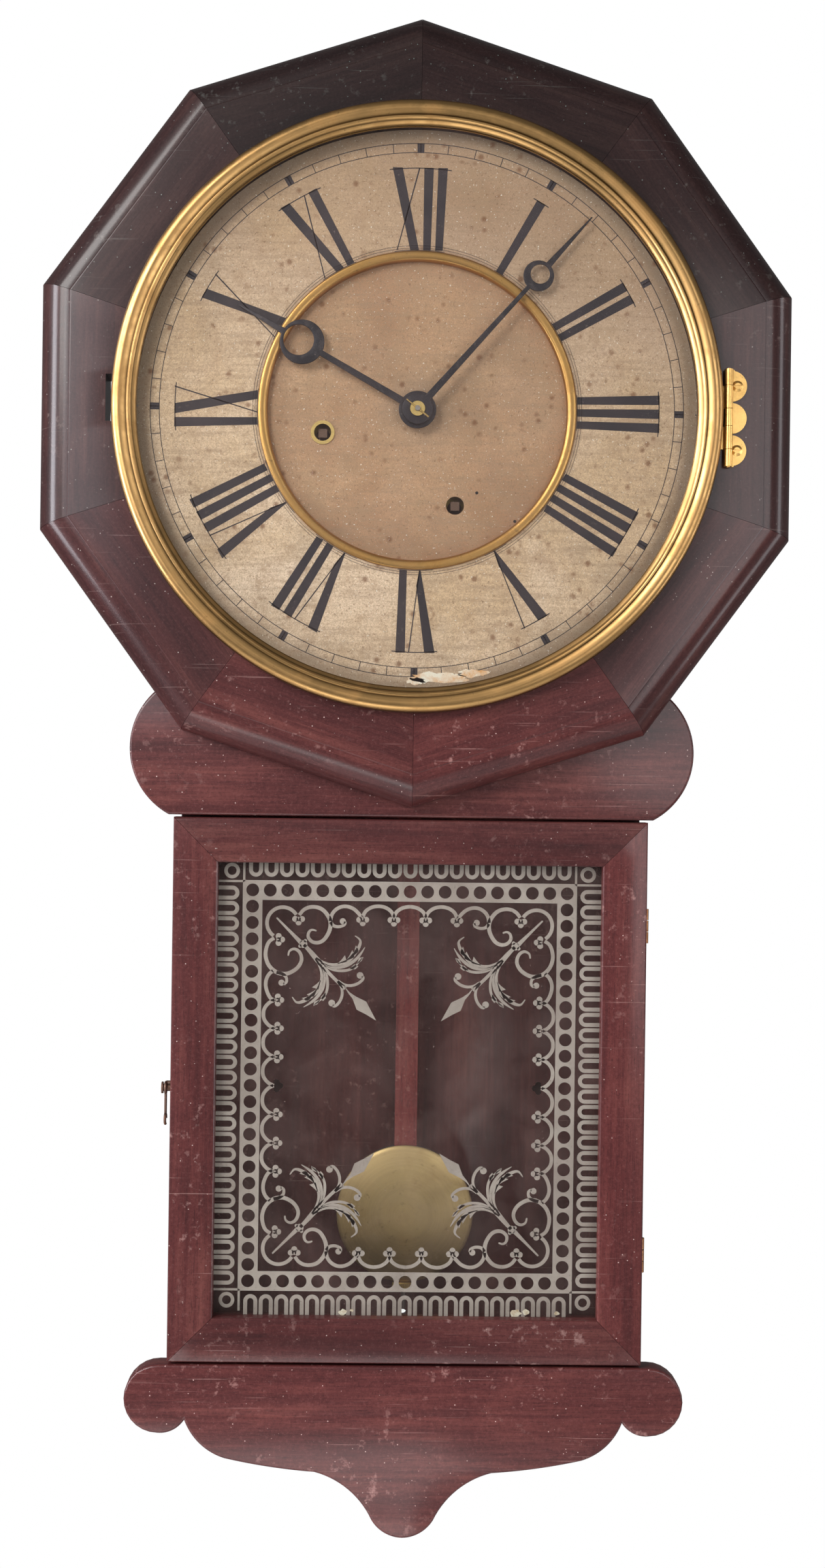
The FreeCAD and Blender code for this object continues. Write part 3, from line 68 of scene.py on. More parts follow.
class Net:

    def __init__(self, name):
        self.material = bpy.data.materials.new(name)
        self.material.use_nodes = True
        self.tree = self.material.node_tree
        self.shader = self.tree.nodes["Principled BSDF"]

    def add(self, kind, settings=None, inputs=None, output=0):
        made = self.tree.nodes.new(kind)
        for key, value in (settings or {}).items():
            if key == "stops":
                band = made.color_ramp
                while len(band.elements) < len(value):
                    band.elements.new(0.5)
                for element, (place, colour) in zip(band.elements, value):
                    element.position, element.color = place, (*colour, 1)
            else:
                setattr(made, key, value)
        for key, value in (inputs or {}).items():
            self.put(made.inputs[key], value)
        return Wire(self, made.outputs[output])

    def put(self, socket, value):
        if isinstance(value, Wire):
            self.tree.links.new(value.socket, socket)
        elif isinstance(value, tuple) and len(value) == 3 and socket.type == "RGBA":
            socket.default_value = (*value, 1)
        else:
            socket.default_value = value

    def spot(self):
        return self.add("ShaderNodeTexCoord", output=3)

    def moved(self, vector, place=(0, 0, 0), scale=(1, 1, 1), turn=(0, 0, 0)):
        return self.add("ShaderNodeMapping", {"vector_type": "POINT"},
                        {0: vector, 1: place, 2: turn, 3: scale})

    def noise(self, vector, scale, detail=3.0, rough=0.5, warp=0.0):
        return self.add("ShaderNodeTexNoise", {},
                        {"Vector": vector, "Scale": scale, "Detail": detail, "Roughness": rough,
                         "Distortion": warp})

    def cells(self, vector, scale):
        return self.add("ShaderNodeTexVoronoi", {}, {"Vector": vector, "Scale": scale})

    def ramp(self, value, low, high, start=0.0, end=1.0):
        return self.add("ShaderNodeMapRange", {"clamp": True},
                        {0: value, 1: low, 2: high, 3: start, 4: end})

    def tint(self, value, stops):
        return self.add("ShaderNodeValToRGB", {"stops": stops}, {0: value})

    def mix(self, amount, first, second, blend="MIX"):
        return self.add("ShaderNodeMix", {"data_type": "RGBA", "blend_type": blend},
                        {0: amount, 6: first, 7: second}, 2)

    def length(self, vector):
        return self.add("ShaderNodeVectorMath", {"operation": "LENGTH"}, {0: vector}, 1)

    def parts(self, vector):
        made = self.tree.nodes.new("ShaderNodeSeparateXYZ")
        self.put(made.inputs[0], vector)
        return [Wire(self, socket) for socket in made.outputs]

    def join(self, x, y, z):
        return self.add("ShaderNodeCombineXYZ", {}, {0: x, 1: y, 2: z})

    def bump(self, height, strength, distance=0.0005):
        return self.add("ShaderNodeBump", {},
                        {"Height": height, "Strength": strength, "Distance": distance})

    def set(self, **values):
        names = {"color": "Base Color", "rough": "Roughness", "metal": "Metallic", "normal": "Normal",
                 "coat": "Coat Weight",
                 "coatRough": "Coat Roughness", "specular": "Specular IOR Level", "ior": "IOR"}
        for key, value in values.items():
            self.put(self.shader.inputs[names[key]], value)
        return self.material


# finishes
wood = {"dark": (0.013, 0.0035, 0.0042), "body": (0.056, 0.0150, 0.0145), "light": (0.150, 0.048, 0.040),
        "dust": (0.46, 0.34, 0.31)}


def mahogany(name, red=1.0, gloss=0.34, lift=1.0, specks=1.0):
    net = Net(name)
    grain = net.add("ShaderNodeAttribute", {"attribute_name": "grain"}, output=1)
    tone = net.add("ShaderNodeAttribute", {"attribute_name": "tone"}, output=2)
    spot = net.spot()
    figure = net.noise(net.moved(grain, scale=(6, 60, 60)), 1.0, 4, 0.55, 0.6)
    streaks = net.noise(net.moved(grain, scale=(14, 420, 420)), 1.0, 3, 0.6)
    pores = net.noise(net.moved(grain, scale=(110, 2600, 2600)), 1.0, 2, 0.6)
    cloud = net.noise(spot, 14.0, 5, 0.6, 0.4)
    level = figure * 0.55 + streaks * 0.35 + cloud * 0.4 - 0.17
    colour = net.tint(level, [(0.16, wood["dark"]),
                              (0.48, tuple(c * k for c, k in zip(wood["body"], (red, 1, 1)))),
                              (0.86, wood["light"])])
    colour = net.mix(net.ramp(pores, 0.56, 0.70, 0, 0.55), colour, wood["dark"])
    scuff = net.noise(net.moved(spot, scale=(1, 1, 1.0)), 150.0, 3, 0.7)
    patch = net.noise(net.moved(spot, place=(3, 1, 2)), 9.0, 2, 0.5)
    worn = net.ramp(scuff, 0.60, 0.72) * net.ramp(patch, 0.46, 0.60) * 0.5
    colour = net.mix(worn, colour, (0.30, 0.17, 0.155))
    for turn, away in (((0.2, 0.7, 0.3), 2), ((1.1, -0.5, 0.8), 6)):
        lines = net.noise(net.moved(spot, (away, away, away), (16, 16, 760), turn), 1.0, 2, 0.5)
        colour = net.mix(net.ramp(lines, 0.70, 0.75, 0, 0.26) * net.ramp(patch, 0.36, 0.52), colour,
                         (0.36, 0.22, 0.20))
    grit = net.cells(spot, 330.0)
    pick = net.noise(net.moved(spot, place=(7, 2, 5)), 420.0, 1, 0.5)
    dots = net.ramp(grit, 0.14, 0.07) * net.ramp(pick, 0.56, 0.62) * (0.8 * specks)
    colour = net.mix(dots, colour, wood["dust"])
    mottle = net.noise(net.moved(spot, place=(4, 4, 2)), 620.0, 3, 0.8)
    colour = net.mix(net.ramp(mottle, 0.54, 0.70, 0, 0.16), colour, (0.20, 0.085, 0.080))
    colour = net.mix(net.ramp(mottle, 0.46, 0.32, 0, 0.40), colour, wood["dark"])
    # the colour is multiplied by the per-vertex attribute: a brightness factor given per piece, and on the
    # head also painted shade that darkens the upper segments
    warm = tone * lift * (tone * 0.7 + 0.3)
    colour = net.mix(1.0, colour, net.join(warm, tone * lift, tone * lift), "MULTIPLY")
    haze = net.noise(net.moved(spot, place=(1, 5, 3)), 5.0, 3, 0.5)
    rough = gloss + haze * 0.22 + worn * 0.3 + dots * 0.4
    height = pores * 0.35 + streaks * 0.45 + scuff * 0.25
    return net.set(color=colour, rough=rough, normal=net.bump(height, 0.16, 0.0003), coat=0.40,
                   coatRough=0.17, specular=0.14)


def agedBrass(name, base=(0.60, 0.40, 0.135), dull=0.30, rings=True, centre=(0, 0, 0), stain=0.55,
              metal=1.0, grooves=()):
    net = Net(name)
    spot = net.spot()
    local = net.moved(spot, place=tuple(-c for c in centre))
    x, y, z = net.parts(local)
    radius = net.length(net.join(x, 0.0, z))
    spun = net.noise(net.join(radius * 1400.0, y * 500.0, 0.0), 1.0, 2, 0.6) if rings else net.noise(spot,
            900.0, 2, 0.6)
    blot = net.noise(spot, 38.0, 5, 0.62, 0.5)
    fine = net.noise(net.moved(spot, place=(4, 4, 4)), 260.0, 3, 0.7)
    tarnish = net.ramp(blot, 0.46, 0.72)
    colour = net.mix(tarnish * stain, base, tuple(c * k for c, k in zip(base, (0.50, 0.42, 0.35))))
    colour = net.mix(net.ramp(fine, 0.62, 0.72) * 0.5, colour, (0.10, 0.060, 0.030))
    colour = net.mix(net.ramp(spun, 0.35, 0.7) * 0.25, colour, tuple(min(1, c * 1.5) for c in base))
    if grooves:
        for place, reach in grooves:
            colour = net.mix(net.ramp((radius - place).math("ABSOLUTE"), reach, reach * 0.35, 0, 0.75),
                             colour, (0.085, 0.050, 0.020))
    rough = dull + tarnish * 0.18 + fine * 0.10 + spun * 0.06
    return net.set(color=colour, rough=rough, metal=metal,
                   normal=net.bump(spun * 0.6 + fine * 0.4, 0.12, 0.0002))


def steel(name, base=(0.30, 0.27, 0.25), rust=0.35, dull=0.36):
    net = Net(name)
    spot = net.spot()
    blot = net.noise(spot, 120.0, 5, 0.65)
    scratch = net.noise(net.moved(spot, scale=(900, 900, 60)), 1.0, 2, 0.6)
    rusty = net.ramp(blot, 0.52, 0.68) * rust
    colour = net.mix(rusty, base, (0.16, 0.055, 0.025))
    return net.set(color=colour, rough=dull + rusty * 0.4 + scratch * 0.12, metal=1.0 - rusty * 0.7,
                   normal=net.bump(scratch + blot, 0.12, 0.0002))


def blackSteel(name):
    net = Net(name)
    spot = net.spot()
    blot = net.noise(spot, 160.0, 5, 0.65)
    wear = net.noise(net.moved(spot, place=(2, 3, 4)), 700.0, 3, 0.7)
    colour = net.mix(net.ramp(blot, 0.5, 0.72), (0.020, 0.018, 0.024), (0.060, 0.050, 0.055))
    colour = net.mix(net.ramp(wear, 0.64, 0.74) * 0.5, colour, (0.20, 0.16, 0.14))
    return net.set(color=colour, rough=0.36 + blot * 0.25, metal=0.55, normal=net.bump(wear, 0.12, 0.0002))


paper = {"clean": (0.86, 0.66, 0.50), "warm": (0.66, 0.46, 0.29), "grey": (0.36, 0.27, 0.20),
         "rust": (0.17, 0.070, 0.030), "edge": (0.30, 0.22, 0.155)}


def dialPaper(name, sunk=False):
    net = Net(name)
    spot = net.spot()
    local = net.moved(spot, place=(0, 0, -dialZ))
    x, _, z = net.parts(local)
    radius = net.length(net.join(x, 0.0, z))
    cloud = net.noise(local, 9.0, 5, 0.6, 0.6)
    soft = net.noise(net.moved(local, place=(2, 0, 5)), 22.0, 6, 0.68, 0.3)
    fibre = net.noise(net.moved(local, scale=(500, 500, 160)), 1.0, 3, 0.6)
    if sunk:
        colour = net.mix(net.ramp(cloud, 0.36, 0.66), (0.40, 0.215, 0.120), (0.60, 0.37, 0.225))
        colour = net.mix(net.ramp(soft, 0.48, 0.70) * 0.7, colour, (0.30, 0.175, 0.105))
        # painted shade in the sunk centre: darker towards its top, and darker in a band next to the raised
        # brass ring
        colour = net.mix(net.ramp(z, 0.02, 0.085, 0, 0.45), colour, (0.33, 0.17, 0.09))
        colour = net.mix(net.ramp(radius, 0.074, 0.0865, 0, 0.55), colour, (0.30, 0.15, 0.085))
        colour = net.mix(net.ramp(radius, 0.026, 0.009, 0, 0.55) * net.ramp(soft, 0.3, 0.6, 0.35, 1),
                         colour, (0.235, 0.175, 0.13))
    else:
        colour = net.mix(net.ramp(cloud, 0.38, 0.64), paper["warm"], paper["clean"])
        colour = net.mix(net.ramp(soft, 0.52, 0.76) * 0.55, colour, paper["grey"])
        # painted shade: the chapter ring darker and browner towards the top right, broken up by the cloud
        # noise
        side = net.ramp(z + x * 0.25, -0.02, 0.13) * net.ramp(cloud, 0.30, 0.6, 0.45, 1)
        colour = net.mix(side * 0.95, colour, (0.34, 0.20, 0.12))
        ragged = radius + (soft - 0.5) * 0.012
        colour = net.mix(net.ramp(ragged, 0.1485, 0.1565, 0, 0.85), colour, paper["edge"])
        colour = net.mix(net.ramp(ragged, 0.0945, 0.088, 0, 0.55), colour, paper["rust"])
    grain = net.noise(net.moved(local, place=(3, 9, 1)), 1500.0, 3, 0.75)
    colour = net.mix(net.ramp(grain, 0.40, 0.60, 0.55, 0.0), colour, (0.26, 0.175, 0.11))
    streak = net.noise(net.moved(local, (7, 7, 7), (30, 30, 340), (0, 0.5, 0)), 1.0, 4, 0.7)
    colour = net.mix(net.ramp(streak, 0.48, 0.68, 0, 0.50), colour, (0.30, 0.20, 0.13))
    blotch = net.noise(net.moved(local, place=(2, 6, 4)), 75.0, 5, 0.7)
    colour = net.mix(net.ramp(blotch, 0.50, 0.68, 0, 0.58), colour, (0.36, 0.23, 0.14))
    fox = net.cells(net.moved(local, place=(0.3, 0.2, 0.1)), 130.0)
    pick = net.noise(net.moved(local, place=(9, 2, 5)), 60.0, 2, 0.6)
    dots = net.ramp(fox, 0.30, 0.12) * net.ramp(pick, 0.50, 0.60)
    colour = net.mix(dots * 0.75, colour, paper["rust"])
    tiny = net.noise(net.moved(local, place=(5, 5, 1)), 620.0, 2, 0.7)
    colour = net.mix(net.ramp(tiny, 0.61, 0.70) * 0.62, colour, (0.20, 0.11, 0.06))
    pale = net.noise(net.moved(local, place=(1, 8, 3)), 700.0, 2, 0.7)
    colour = net.mix(net.ramp(pale, 0.66, 0.72) * 0.8, colour, (0.85, 0.80, 0.72))
    return net.set(color=colour, rough=0.62 + soft * 0.15,
                   normal=net.bump(fibre * 0.5 + soft * 0.5, 0.15, 0.0003), specular=0.3)


def printInk(name):
    net = Net(name)
    spot = net.spot()
    worn = net.noise(spot, 520.0, 4, 0.75)
    patch = net.noise(net.moved(spot, place=(6, 1, 2)), 55.0, 3, 0.6)
    rub = net.ramp(worn, 0.60, 0.70) * net.ramp(patch, 0.44, 0.66, 0.12, 1)
    colour = net.mix(rub * 0.55, (0.022, 0.016, 0.022), (0.22, 0.165, 0.15))
    return net.set(color=colour, rough=0.55 + rub * 0.2, specular=0.35)


def foil(name):
    net = Net(name)
    spot = net.spot()
    fine = net.noise(spot, 900.0, 3, 0.7)
    patch = net.noise(spot, 40.0, 4, 0.6)
    colour = net.mix(net.ramp(patch, 0.35, 0.7), (0.33, 0.275, 0.245), (0.47, 0.405, 0.365))
    colour = net.mix(net.ramp(fine, 0.60, 0.72) * 0.6, colour, (0.10, 0.06, 0.055))
    return net.set(color=colour, rough=0.52 + fine * 0.15, metal=0.25, normal=net.bump(fine, 0.1, 0.0001))


def paneGlass(name, dirt=0.05, gloss=1.0):
    net = Net(name)
    tree = net.tree
    spot = net.spot()
    film = net.noise(spot, 26.0, 5, 0.65, 0.4)
    specks = net.noise(net.moved(spot, place=(3, 2, 1)), 700.0, 2, 0.7)
    film = net.ramp(film, 0.40, 0.75, 0.25, 1.0) * dirt + net.ramp(specks, 0.71, 0.76) * 0.35
    net.set(color=(0.52, 0.36, 0.33), rough=0.5, specular=0.2)
    clear = net.add("ShaderNodeBsdfTransparent", {}, {0: (0.97, 0.98, 0.97)})
    shine = net.add("ShaderNodeBsdfGlossy", {}, {0: (1, 1, 1), 1: 0.03})
    edge = net.add("ShaderNodeFresnel", {}, {0: 1.42})
    glass = net.add("ShaderNodeMixShader", {}, {0: edge * gloss, 1: clear, 2: shine})
    dusty = net.add("ShaderNodeMixShader", {}, {0: film, 1: glass, 2: Wire(net, net.shader.outputs[0])})
    tree.links.new(dusty.socket, tree.nodes["Material Output"].inputs[0])
    return net.material


def plainCrust(name, colour, second, scale=400.0, rough=0.7):
    net = Net(name)
    spot = net.spot()
    lump = net.noise(spot, scale, 5, 0.65)
    return net.set(color=net.mix(net.ramp(lump, 0.4, 0.65), colour, second), rough=rough,
                   normal=net.bump(lump, 0.3, 0.0004))


headWood = mahogany("head mahogany", gloss=0.30, lift=1.0)
caseWood = mahogany("case mahogany", red=1.0, gloss=0.36, lift=1.05)
doorWood = mahogany("door mahogany", red=1.15, gloss=0.36, lift=1.02)
innerWood = mahogany("case inside", red=1.1, gloss=0.6, lift=1.1, specks=0.3)
rodWood = mahogany("pendulum rod wood", red=1.5, gloss=0.45, lift=2.0, specks=0.2)
dialCentre = (0, 0, dialZ)
bezelBrass = agedBrass("bezel brass", (0.43, 0.255, 0.10), 0.25, True, dialCentre, 0.75, 1.0,
                       ((0.1640, 0.0011), (0.1612, 0.0006), (0.1728, 0.0005), (0.1588, 0.0007)))
ringBrass = agedBrass("dial ring brass", (0.46, 0.255, 0.085), 0.30, True, dialCentre, 0.75)
plateBrass = agedBrass("movement brass", (0.60, 0.42, 0.16), 0.32, False)
leafBrass = agedBrass("door hinge brass", (0.34, 0.17, 0.085), 0.35, False, stain=0.6)
hingeBrass = agedBrass("hinge brass", (0.72, 0.44, 0.15), 0.26, False, stain=0.35)
bobCentre = (0, 0, (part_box("bob_weight")[0].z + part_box("bob_weight")[1].z) / 2)
bobBrass = agedBrass("bob brass", (0.46, 0.325, 0.155), 0.38, True, bobCentre, 0.5)
workSteel = steel("movement steel")
rustSteel = steel("rusty steel", (0.14, 0.09, 0.07), 0.9, 0.5)
handSteel = blackSteel("hand steel")
chapterPaper, centrePaper = dialPaper("chapter paper"), dialPaper("centre paper", True)
ink, silver = printInk("printed numerals"), foil("silver stencil")
dialGlass, doorGlass = paneGlass("bezel glass", 0.03, 0.6), paneGlass("door glass", 0.05, 0.6)
iron = plainCrust("cast iron", (0.035, 0.033, 0.033), (0.06, 0.055, 0.05), 300.0)
puttyWhite = plainCrust("putty flakes", (0.82, 0.76, 0.62), (0.55, 0.40, 0.24))
scrapPaper = plainCrust("torn paper scrap", (0.86, 0.78, 0.66), (0.72, 0.36, 0.13), 120.0)
# near-black finish, used as painted shade for the two dial pin holes
holeShade = plainCrust("painted hole shade", (0.012, 0.006, 0.006), (0.03, 0.015, 0.012))
print("finishes made")


# making pieces
def newPiece(name, mesh, material):
    piece = bpy.data.objects.new(name, mesh)
    bpy.context.scene.collection.objects.link(piece)
    piece.data.materials.clear()
    piece.data.materials.append(material)
    return piece


def meshFrom(name, points, faces):
    mesh = bpy.data.meshes.new(name)
    mesh.from_pydata([tuple(p) for p in points], [], faces)
    made = bmesh.new()
    made.from_mesh(mesh)
    bmesh.ops.remove_doubles(made, verts=made.verts, dist=1e-7)
    bmesh.ops.recalc_face_normals(made, faces=made.faces)
    made.to_mesh(mesh)
    made.free()
    return mesh


def soften(piece, width, segments=2, angle=35):
    bevel = piece.modifiers.new("soft edges", "BEVEL")
    bevel.width, bevel.segments, bevel.limit_method = width, segments, "ANGLE"
    bevel.angle_limit = math.radians(angle)
    bevel.use_clamp_overlap = True
    return baked(piece)


def baked(piece):
    name, material = piece.name, piece.data.materials[0]
    depsgraph = bpy.context.evaluated_depsgraph_get()
    mesh = bpy.data.meshes.new_from_object(piece.evaluated_get(depsgraph))
    bpy.data.objects.remove(piece)
    made = newPiece(name, mesh, material)
    made.name = name
    return made


def smooth(piece, angle=32):
    piece.data.shade_smooth()
    piece.data.set_sharp_from_angle(angle=math.radians(angle))
    return piece


def setGrain(piece, along, shift=0.0, tone=1.0):
    along = Vector(along).normalized()
    across = along.cross(Vector((0, 1, 0)))
    points = [vertex.co.copy() for vertex in piece.data.vertices]
    grain = [part for co in points
             for part in (co.dot(along) + shift, co.dot(across) + shift * 0.37, co.y + shift)]
    piece.data.attributes.new("grain", "FLOAT_VECTOR", "POINT").data.foreach_set("vector", grain)
    piece.data.attributes.new("tone", "FLOAT", "POINT").data.foreach_set("value", [tone] * len(points))
    return piece


def place(piece, body, slot, *replaced):
    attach(piece, body)
    if replaced:
        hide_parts(*replaced)
    return piece


def arcPoints(cx, cz, radius, start, end, steps):
    return [(cx + radius * math.cos(math.radians(start + (end - start) * k / steps)),
             cz + radius * math.sin(math.radians(start + (end - start) * k / steps)))
            for k in range(steps + 1)]


def circle(cx, cz, radius, steps=32):
    return arcPoints(cx, cz, radius, 0, 360, steps)[:-1]


def plate(name, loops, depth, thickness, bevel, material, steps=2):
    curve = bpy.data.curves.new(name, "CURVE")
    curve.dimensions, curve.fill_mode = "2D", "BOTH"
    curve.extrude, curve.bevel_depth, curve.bevel_resolution = (thickness / 2 - bevel), bevel, steps
    curve.offset = -bevel
    for loop in loops:
        spline = curve.splines.new("POLY")
        spline.points.add(len(loop) - 1)
        for point, (across, up) in zip(spline.points, loop):
            point.co = (across, up, 0, 1)
        spline.use_cyclic_u = True
    holder = bpy.data.objects.new(name, curve)
    bpy.context.scene.collection.objects.link(holder)
    bpy.context.view_layer.update()
    mesh = bpy.data.meshes.new_from_object(holder.evaluated_get(bpy.context.evaluated_depsgraph_get()))
    bpy.data.objects.remove(holder)
    middle = depth + thickness / 2
    for vertex in mesh.vertices:
        across, up, out = vertex.co
        vertex.co = (across, -middle - out, up)
    made = bmesh.new()
    made.from_mesh(mesh)
    bmesh.ops.remove_doubles(made, verts=made.verts, dist=2e-7)
    bmesh.ops.recalc_face_normals(made, faces=made.faces)
    made.to_mesh(mesh)
    made.free()
    return newPiece(name, mesh, material)


def spun(name, profile, centreZ, material, steps=256, closed=True):
    points, faces, count = [], [], len(profile)
    for k in range(steps):
        turn = 2 * math.pi * k / steps
        points += [(r * math.cos(turn), -depth, centreZ + r * math.sin(turn)) for r, depth in profile]
    for k in range(steps):
        here, there = k * count, ((k + 1) % steps) * count
        for j in range(count if closed else count - 1):
            nextJ = (j + 1) % count
            faces.append((here + j, here + nextJ, there + nextJ, there + j))
    return smooth(newPiece(name, meshFrom(name, points, faces), material), 50)


def bow(first, middle, last, steps):
    return [((1 - t) ** 2 * first[0] + 2 * t * (1 - t) * middle[0] + t * t * last[0],
             (1 - t) ** 2 * first[1] + 2 * t * (1 - t) * middle[1] + t * t * last[1])
            for t in (k / steps for k in range(steps + 1))]


# geometry nodes: one mark repeated round the dial, or along a straight row
def nodeGroup(name, sizes):
    tree = bpy.data.node_groups.new(name, "GeometryNodeTree")
    tree.interface.new_socket("Geometry", in_out="INPUT", socket_type="NodeSocketGeometry")
    for label, kind in sizes.items():
        tree.interface.new_socket(label, in_out="INPUT", socket_type=kind)
    tree.interface.new_socket("Geometry", in_out="OUTPUT", socket_type="NodeSocketGeometry")
    return tree, tree.nodes.new("NodeGroupInput"), tree.nodes.new("NodeGroupOutput")


def repeatTree(name, around):
    sizes = {"Count": "NodeSocketInt", "Step": "NodeSocketVector", "Centre": "NodeSocketVector",
             "Finish": "NodeSocketMaterial"}
    tree, given, result = nodeGroup(name, sizes)
    make, link = tree.nodes.new, tree.links.new
    line = make("GeometryNodeMeshLine")
    link(given.outputs["Count"], line.inputs["Count"])
    spread = make("GeometryNodeInstanceOnPoints")
    link(line.outputs[0], spread.inputs["Points"])
    link(given.outputs["Geometry"], spread.inputs["Instance"])
    if around:
        line.inputs["Offset"].default_value = (0, 0, 0)
        number = make("GeometryNodeInputIndex")
        turn = make("ShaderNodeVectorMath")
        turn.operation = "SCALE"
        link(given.outputs["Step"], turn.inputs[0])
        link(number.outputs[0], turn.inputs["Scale"])
        link(turn.outputs[0], spread.inputs["Rotation"])
    else:
        link(given.outputs["Step"], line.inputs["Offset"])
    shift = make("GeometryNodeTransform")
    link(given.outputs["Centre"], shift.inputs["Translation"])
    solid, finish = make("GeometryNodeRealizeInstances"), make("GeometryNodeSetMaterial")
    link(spread.outputs[0], shift.inputs["Geometry"])
    link(shift.outputs[0], solid.inputs[0])
    link(solid.outputs[0], finish.inputs["Geometry"])
    link(given.outputs["Finish"], finish.inputs["Material"])
    link(finish.outputs[0], result.inputs[0])
    return tree


roundTree, rowTree = repeatTree("repeat round", True), repeatTree("repeat in a row", False)


def repeated(piece, tree, count, step, centre, material):
    modifier = piece.modifiers.new("repeat", "NODES")
    modifier.node_group = tree
    given = {"Count": count, "Step": step, "Centre": centre, "Finish": material}
    for item in tree.interface.items_tree:
        if item.in_out == "INPUT" and item.name in given:
            modifier[item.identifier] = given[item.name]
    return baked(piece)


def joined(name, pieces):
    made = bmesh.new()
    for piece in pieces:
        made.from_mesh(piece.data)
    mesh = bpy.data.meshes.new(name)
    made.to_mesh(mesh)
    made.free()
    material = pieces[0].data.materials[0]
    for piece in pieces:
        bpy.data.objects.remove(piece)
    result = newPiece(name, mesh, material)
    result.name = name
    return result


# case and boards
rng = random.Random(7)
boardThick = 16 * mm


def boxBoard(node, material, along, tone=1.0, bevel=0.8 * mm, shift=None):
    source = nodes[node].data
    made = bmesh.new()
    made.from_mesh(source)
    bmesh.ops.remove_doubles(made, verts=made.verts, dist=1e-6)
    bmesh.ops.dissolve_limit(made, angle_limit=math.radians(1), verts=made.verts, edges=made.edges)
    mesh = bpy.data.meshes.new(node)
    made.to_mesh(mesh)
    made.free()
    piece = newPiece(f"{node}_wood", mesh, material)
    piece = smooth(soften(piece, bevel, 3), 40)
    setGrain(piece, along, rng.uniform(0, 5) if shift is None else shift, tone)
    return place(piece, "case", "mahogany" if material is not innerWood else "pine_backboard", node)


upward, sideways = (0, 0, 1), (1, 0, 0)
boxBoard("backboard", innerWood, upward, 1.0)
boxBoard("case_side_left", caseWood, upward, 0.85)
boxBoard("case_side_right", caseWood, upward, 0.85)
boxBoard("case_top", caseWood, sideways, 0.8)
boxBoard("case_bottom", caseWood, sideways, 0.8)

shoulder = {"earRadius": 44 * mm, "earOffset": 119.5 * mm, "earDrop": 194 * mm, "foot": 232.7 * mm,
            "edge": 1.6 * mm}


def makeShoulder(name):
    s = shoulder
    drop = s["foot"] - s["earDrop"]
    open_ = math.degrees(math.asin(drop / s["earRadius"]))
    z = dialZ - s["earDrop"]
    right = arcPoints(s["earOffset"], z, s["earRadius"], -open_, 90, 40)
    left = arcPoints(-s["earOffset"], z, s["earRadius"], 90, 180 + open_, 40)
    piece = plate(name, [right + left], 75 * mm, boardThick, s["edge"], caseWood, 3)
    setGrain(smooth(piece), sideways, 1.3, 1.05)
    return place(piece, "case", "mahogany", "shoulder_board")


makeShoulder("shoulder")
apron = {"earRadius": 19.8 * mm, "earOffset": 142.3 * mm, "height": 99.5 * mm, "edge": 1.5 * mm}
doorTop, doorTall, apronGap = 234 * mm, 315.5 * mm, 1.5 * mm
apronTop = dialZ - (doorTop + doorTall + apronGap)


def throughArc(first, middle, last, steps):
    ax, az = first
    bx, bz = middle
    cx, cz = last
    d = 2 * (ax * (bz - cz) + bx * (cz - az) + cx * (az - bz))
    ux = ((ax * ax + az * az) * (bz - cz) + (bx * bx + bz * bz) * (cz - az) + (cx * cx + cz * cz)
          * (az - bz)) / d
    uz = ((ax * ax + az * az) * (cx - bx) + (bx * bx + bz * bz) * (ax - cx) + (cx * cx + cz * cz)
          * (bx - ax)) / d
    angles = [math.degrees(math.atan2(z - uz, x - ux)) for x, z in (first, middle, last)]
    start, mid, end = angles
    while mid < start:
        mid += 360
    while end < mid:
        end += 360
    if end - start > 360:
        start, mid, end = angles
        while mid > start:
            mid -= 360
        while end > mid:
            end -= 360
    return arcPoints(ux, uz, math.hypot(ax - ux, az - uz), start, end, steps)


def makeApron(name):
    a = apron
    r, e, tip = a["earRadius"], a["earOffset"], a["height"]
    cusp = (0.892 * e, -1.62 * r)
    half = [((e, 0), (e + r, -r), (e, -2 * r)), ((e, -2 * r), (0.942 * e, -1.93 * r), cusp),
            (cusp, (0.82 * e, -0.47 * tip), (0.727 * e, -0.543 * tip)),
            ((0.727 * e, -0.543 * tip), (0.52 * e, -0.596 * tip), (0.361 * e, -0.619 * tip)),
            ((0.361 * e, -0.619 * tip), (0.222 * e, -0.72 * tip), (0.127 * e, -0.894 * tip)),
            ((0.127 * e, -0.894 * tip), (0.07 * e, -0.973 * tip), (0, -tip))]
    right = []
    for piece in half:
        right += throughArc(*piece, 14)[:-1]
    loop = right + [(0, -tip)] + [(-x, z) for x, z in reversed(right)]
    loop = [(x, z + apronTop) for x, z in loop]
    piece = plate(name, [loop], 75 * mm, boardThick, a["edge"], caseWood, 3)
    setGrain(smooth(piece), sideways, 4.1, 1.15)
    return place(piece, "case", "mahogany", "apron_board")


makeApron("apron")
print("case boards made")

# head: ten segments with a rounded outer edge, a faint quirk and a mitre at each corner
head = {"radius": 227 * mm, "back": 91 * mm, "thick": 22 * mm, "roundWidth": 18 * mm, "roundDepth": 20 * mm,
        "opening": 160.5 * mm, "sides": 10, "kerf": 0.16 * mm, "quirk": 0.5 * mm}
slotCut = {"x": (-176.8 * mm, -166.0 * mm), "z": (-10 * mm, 16.7 * mm)}


def headProfile():
    h = head
    edge = h["radius"] * math.cos(math.pi / h["sides"])
    front, back = h["back"] + h["thick"], h["back"]
    inner = h["opening"]
    flat = edge - h["roundWidth"]
    points = [(inner, back), (edge - 0.6 * mm, back), (edge, back + 0.6 * mm),
              (edge, front - h["roundDepth"])]
    for k in range(1, 15):
        t = math.pi / 2 * k / 15
        points.append((edge - h["roundWidth"] * (1 - math.cos(t)),
                       front - h["roundDepth"] * (1 - math.sin(t)) - h["quirk"] * math.sin(t)))
    points += [(flat, front - h["quirk"]), (flat - 0.5 * mm, front - 0.1 * mm), (flat - 1.2 * mm, front),
               (inner, front)]
    return points


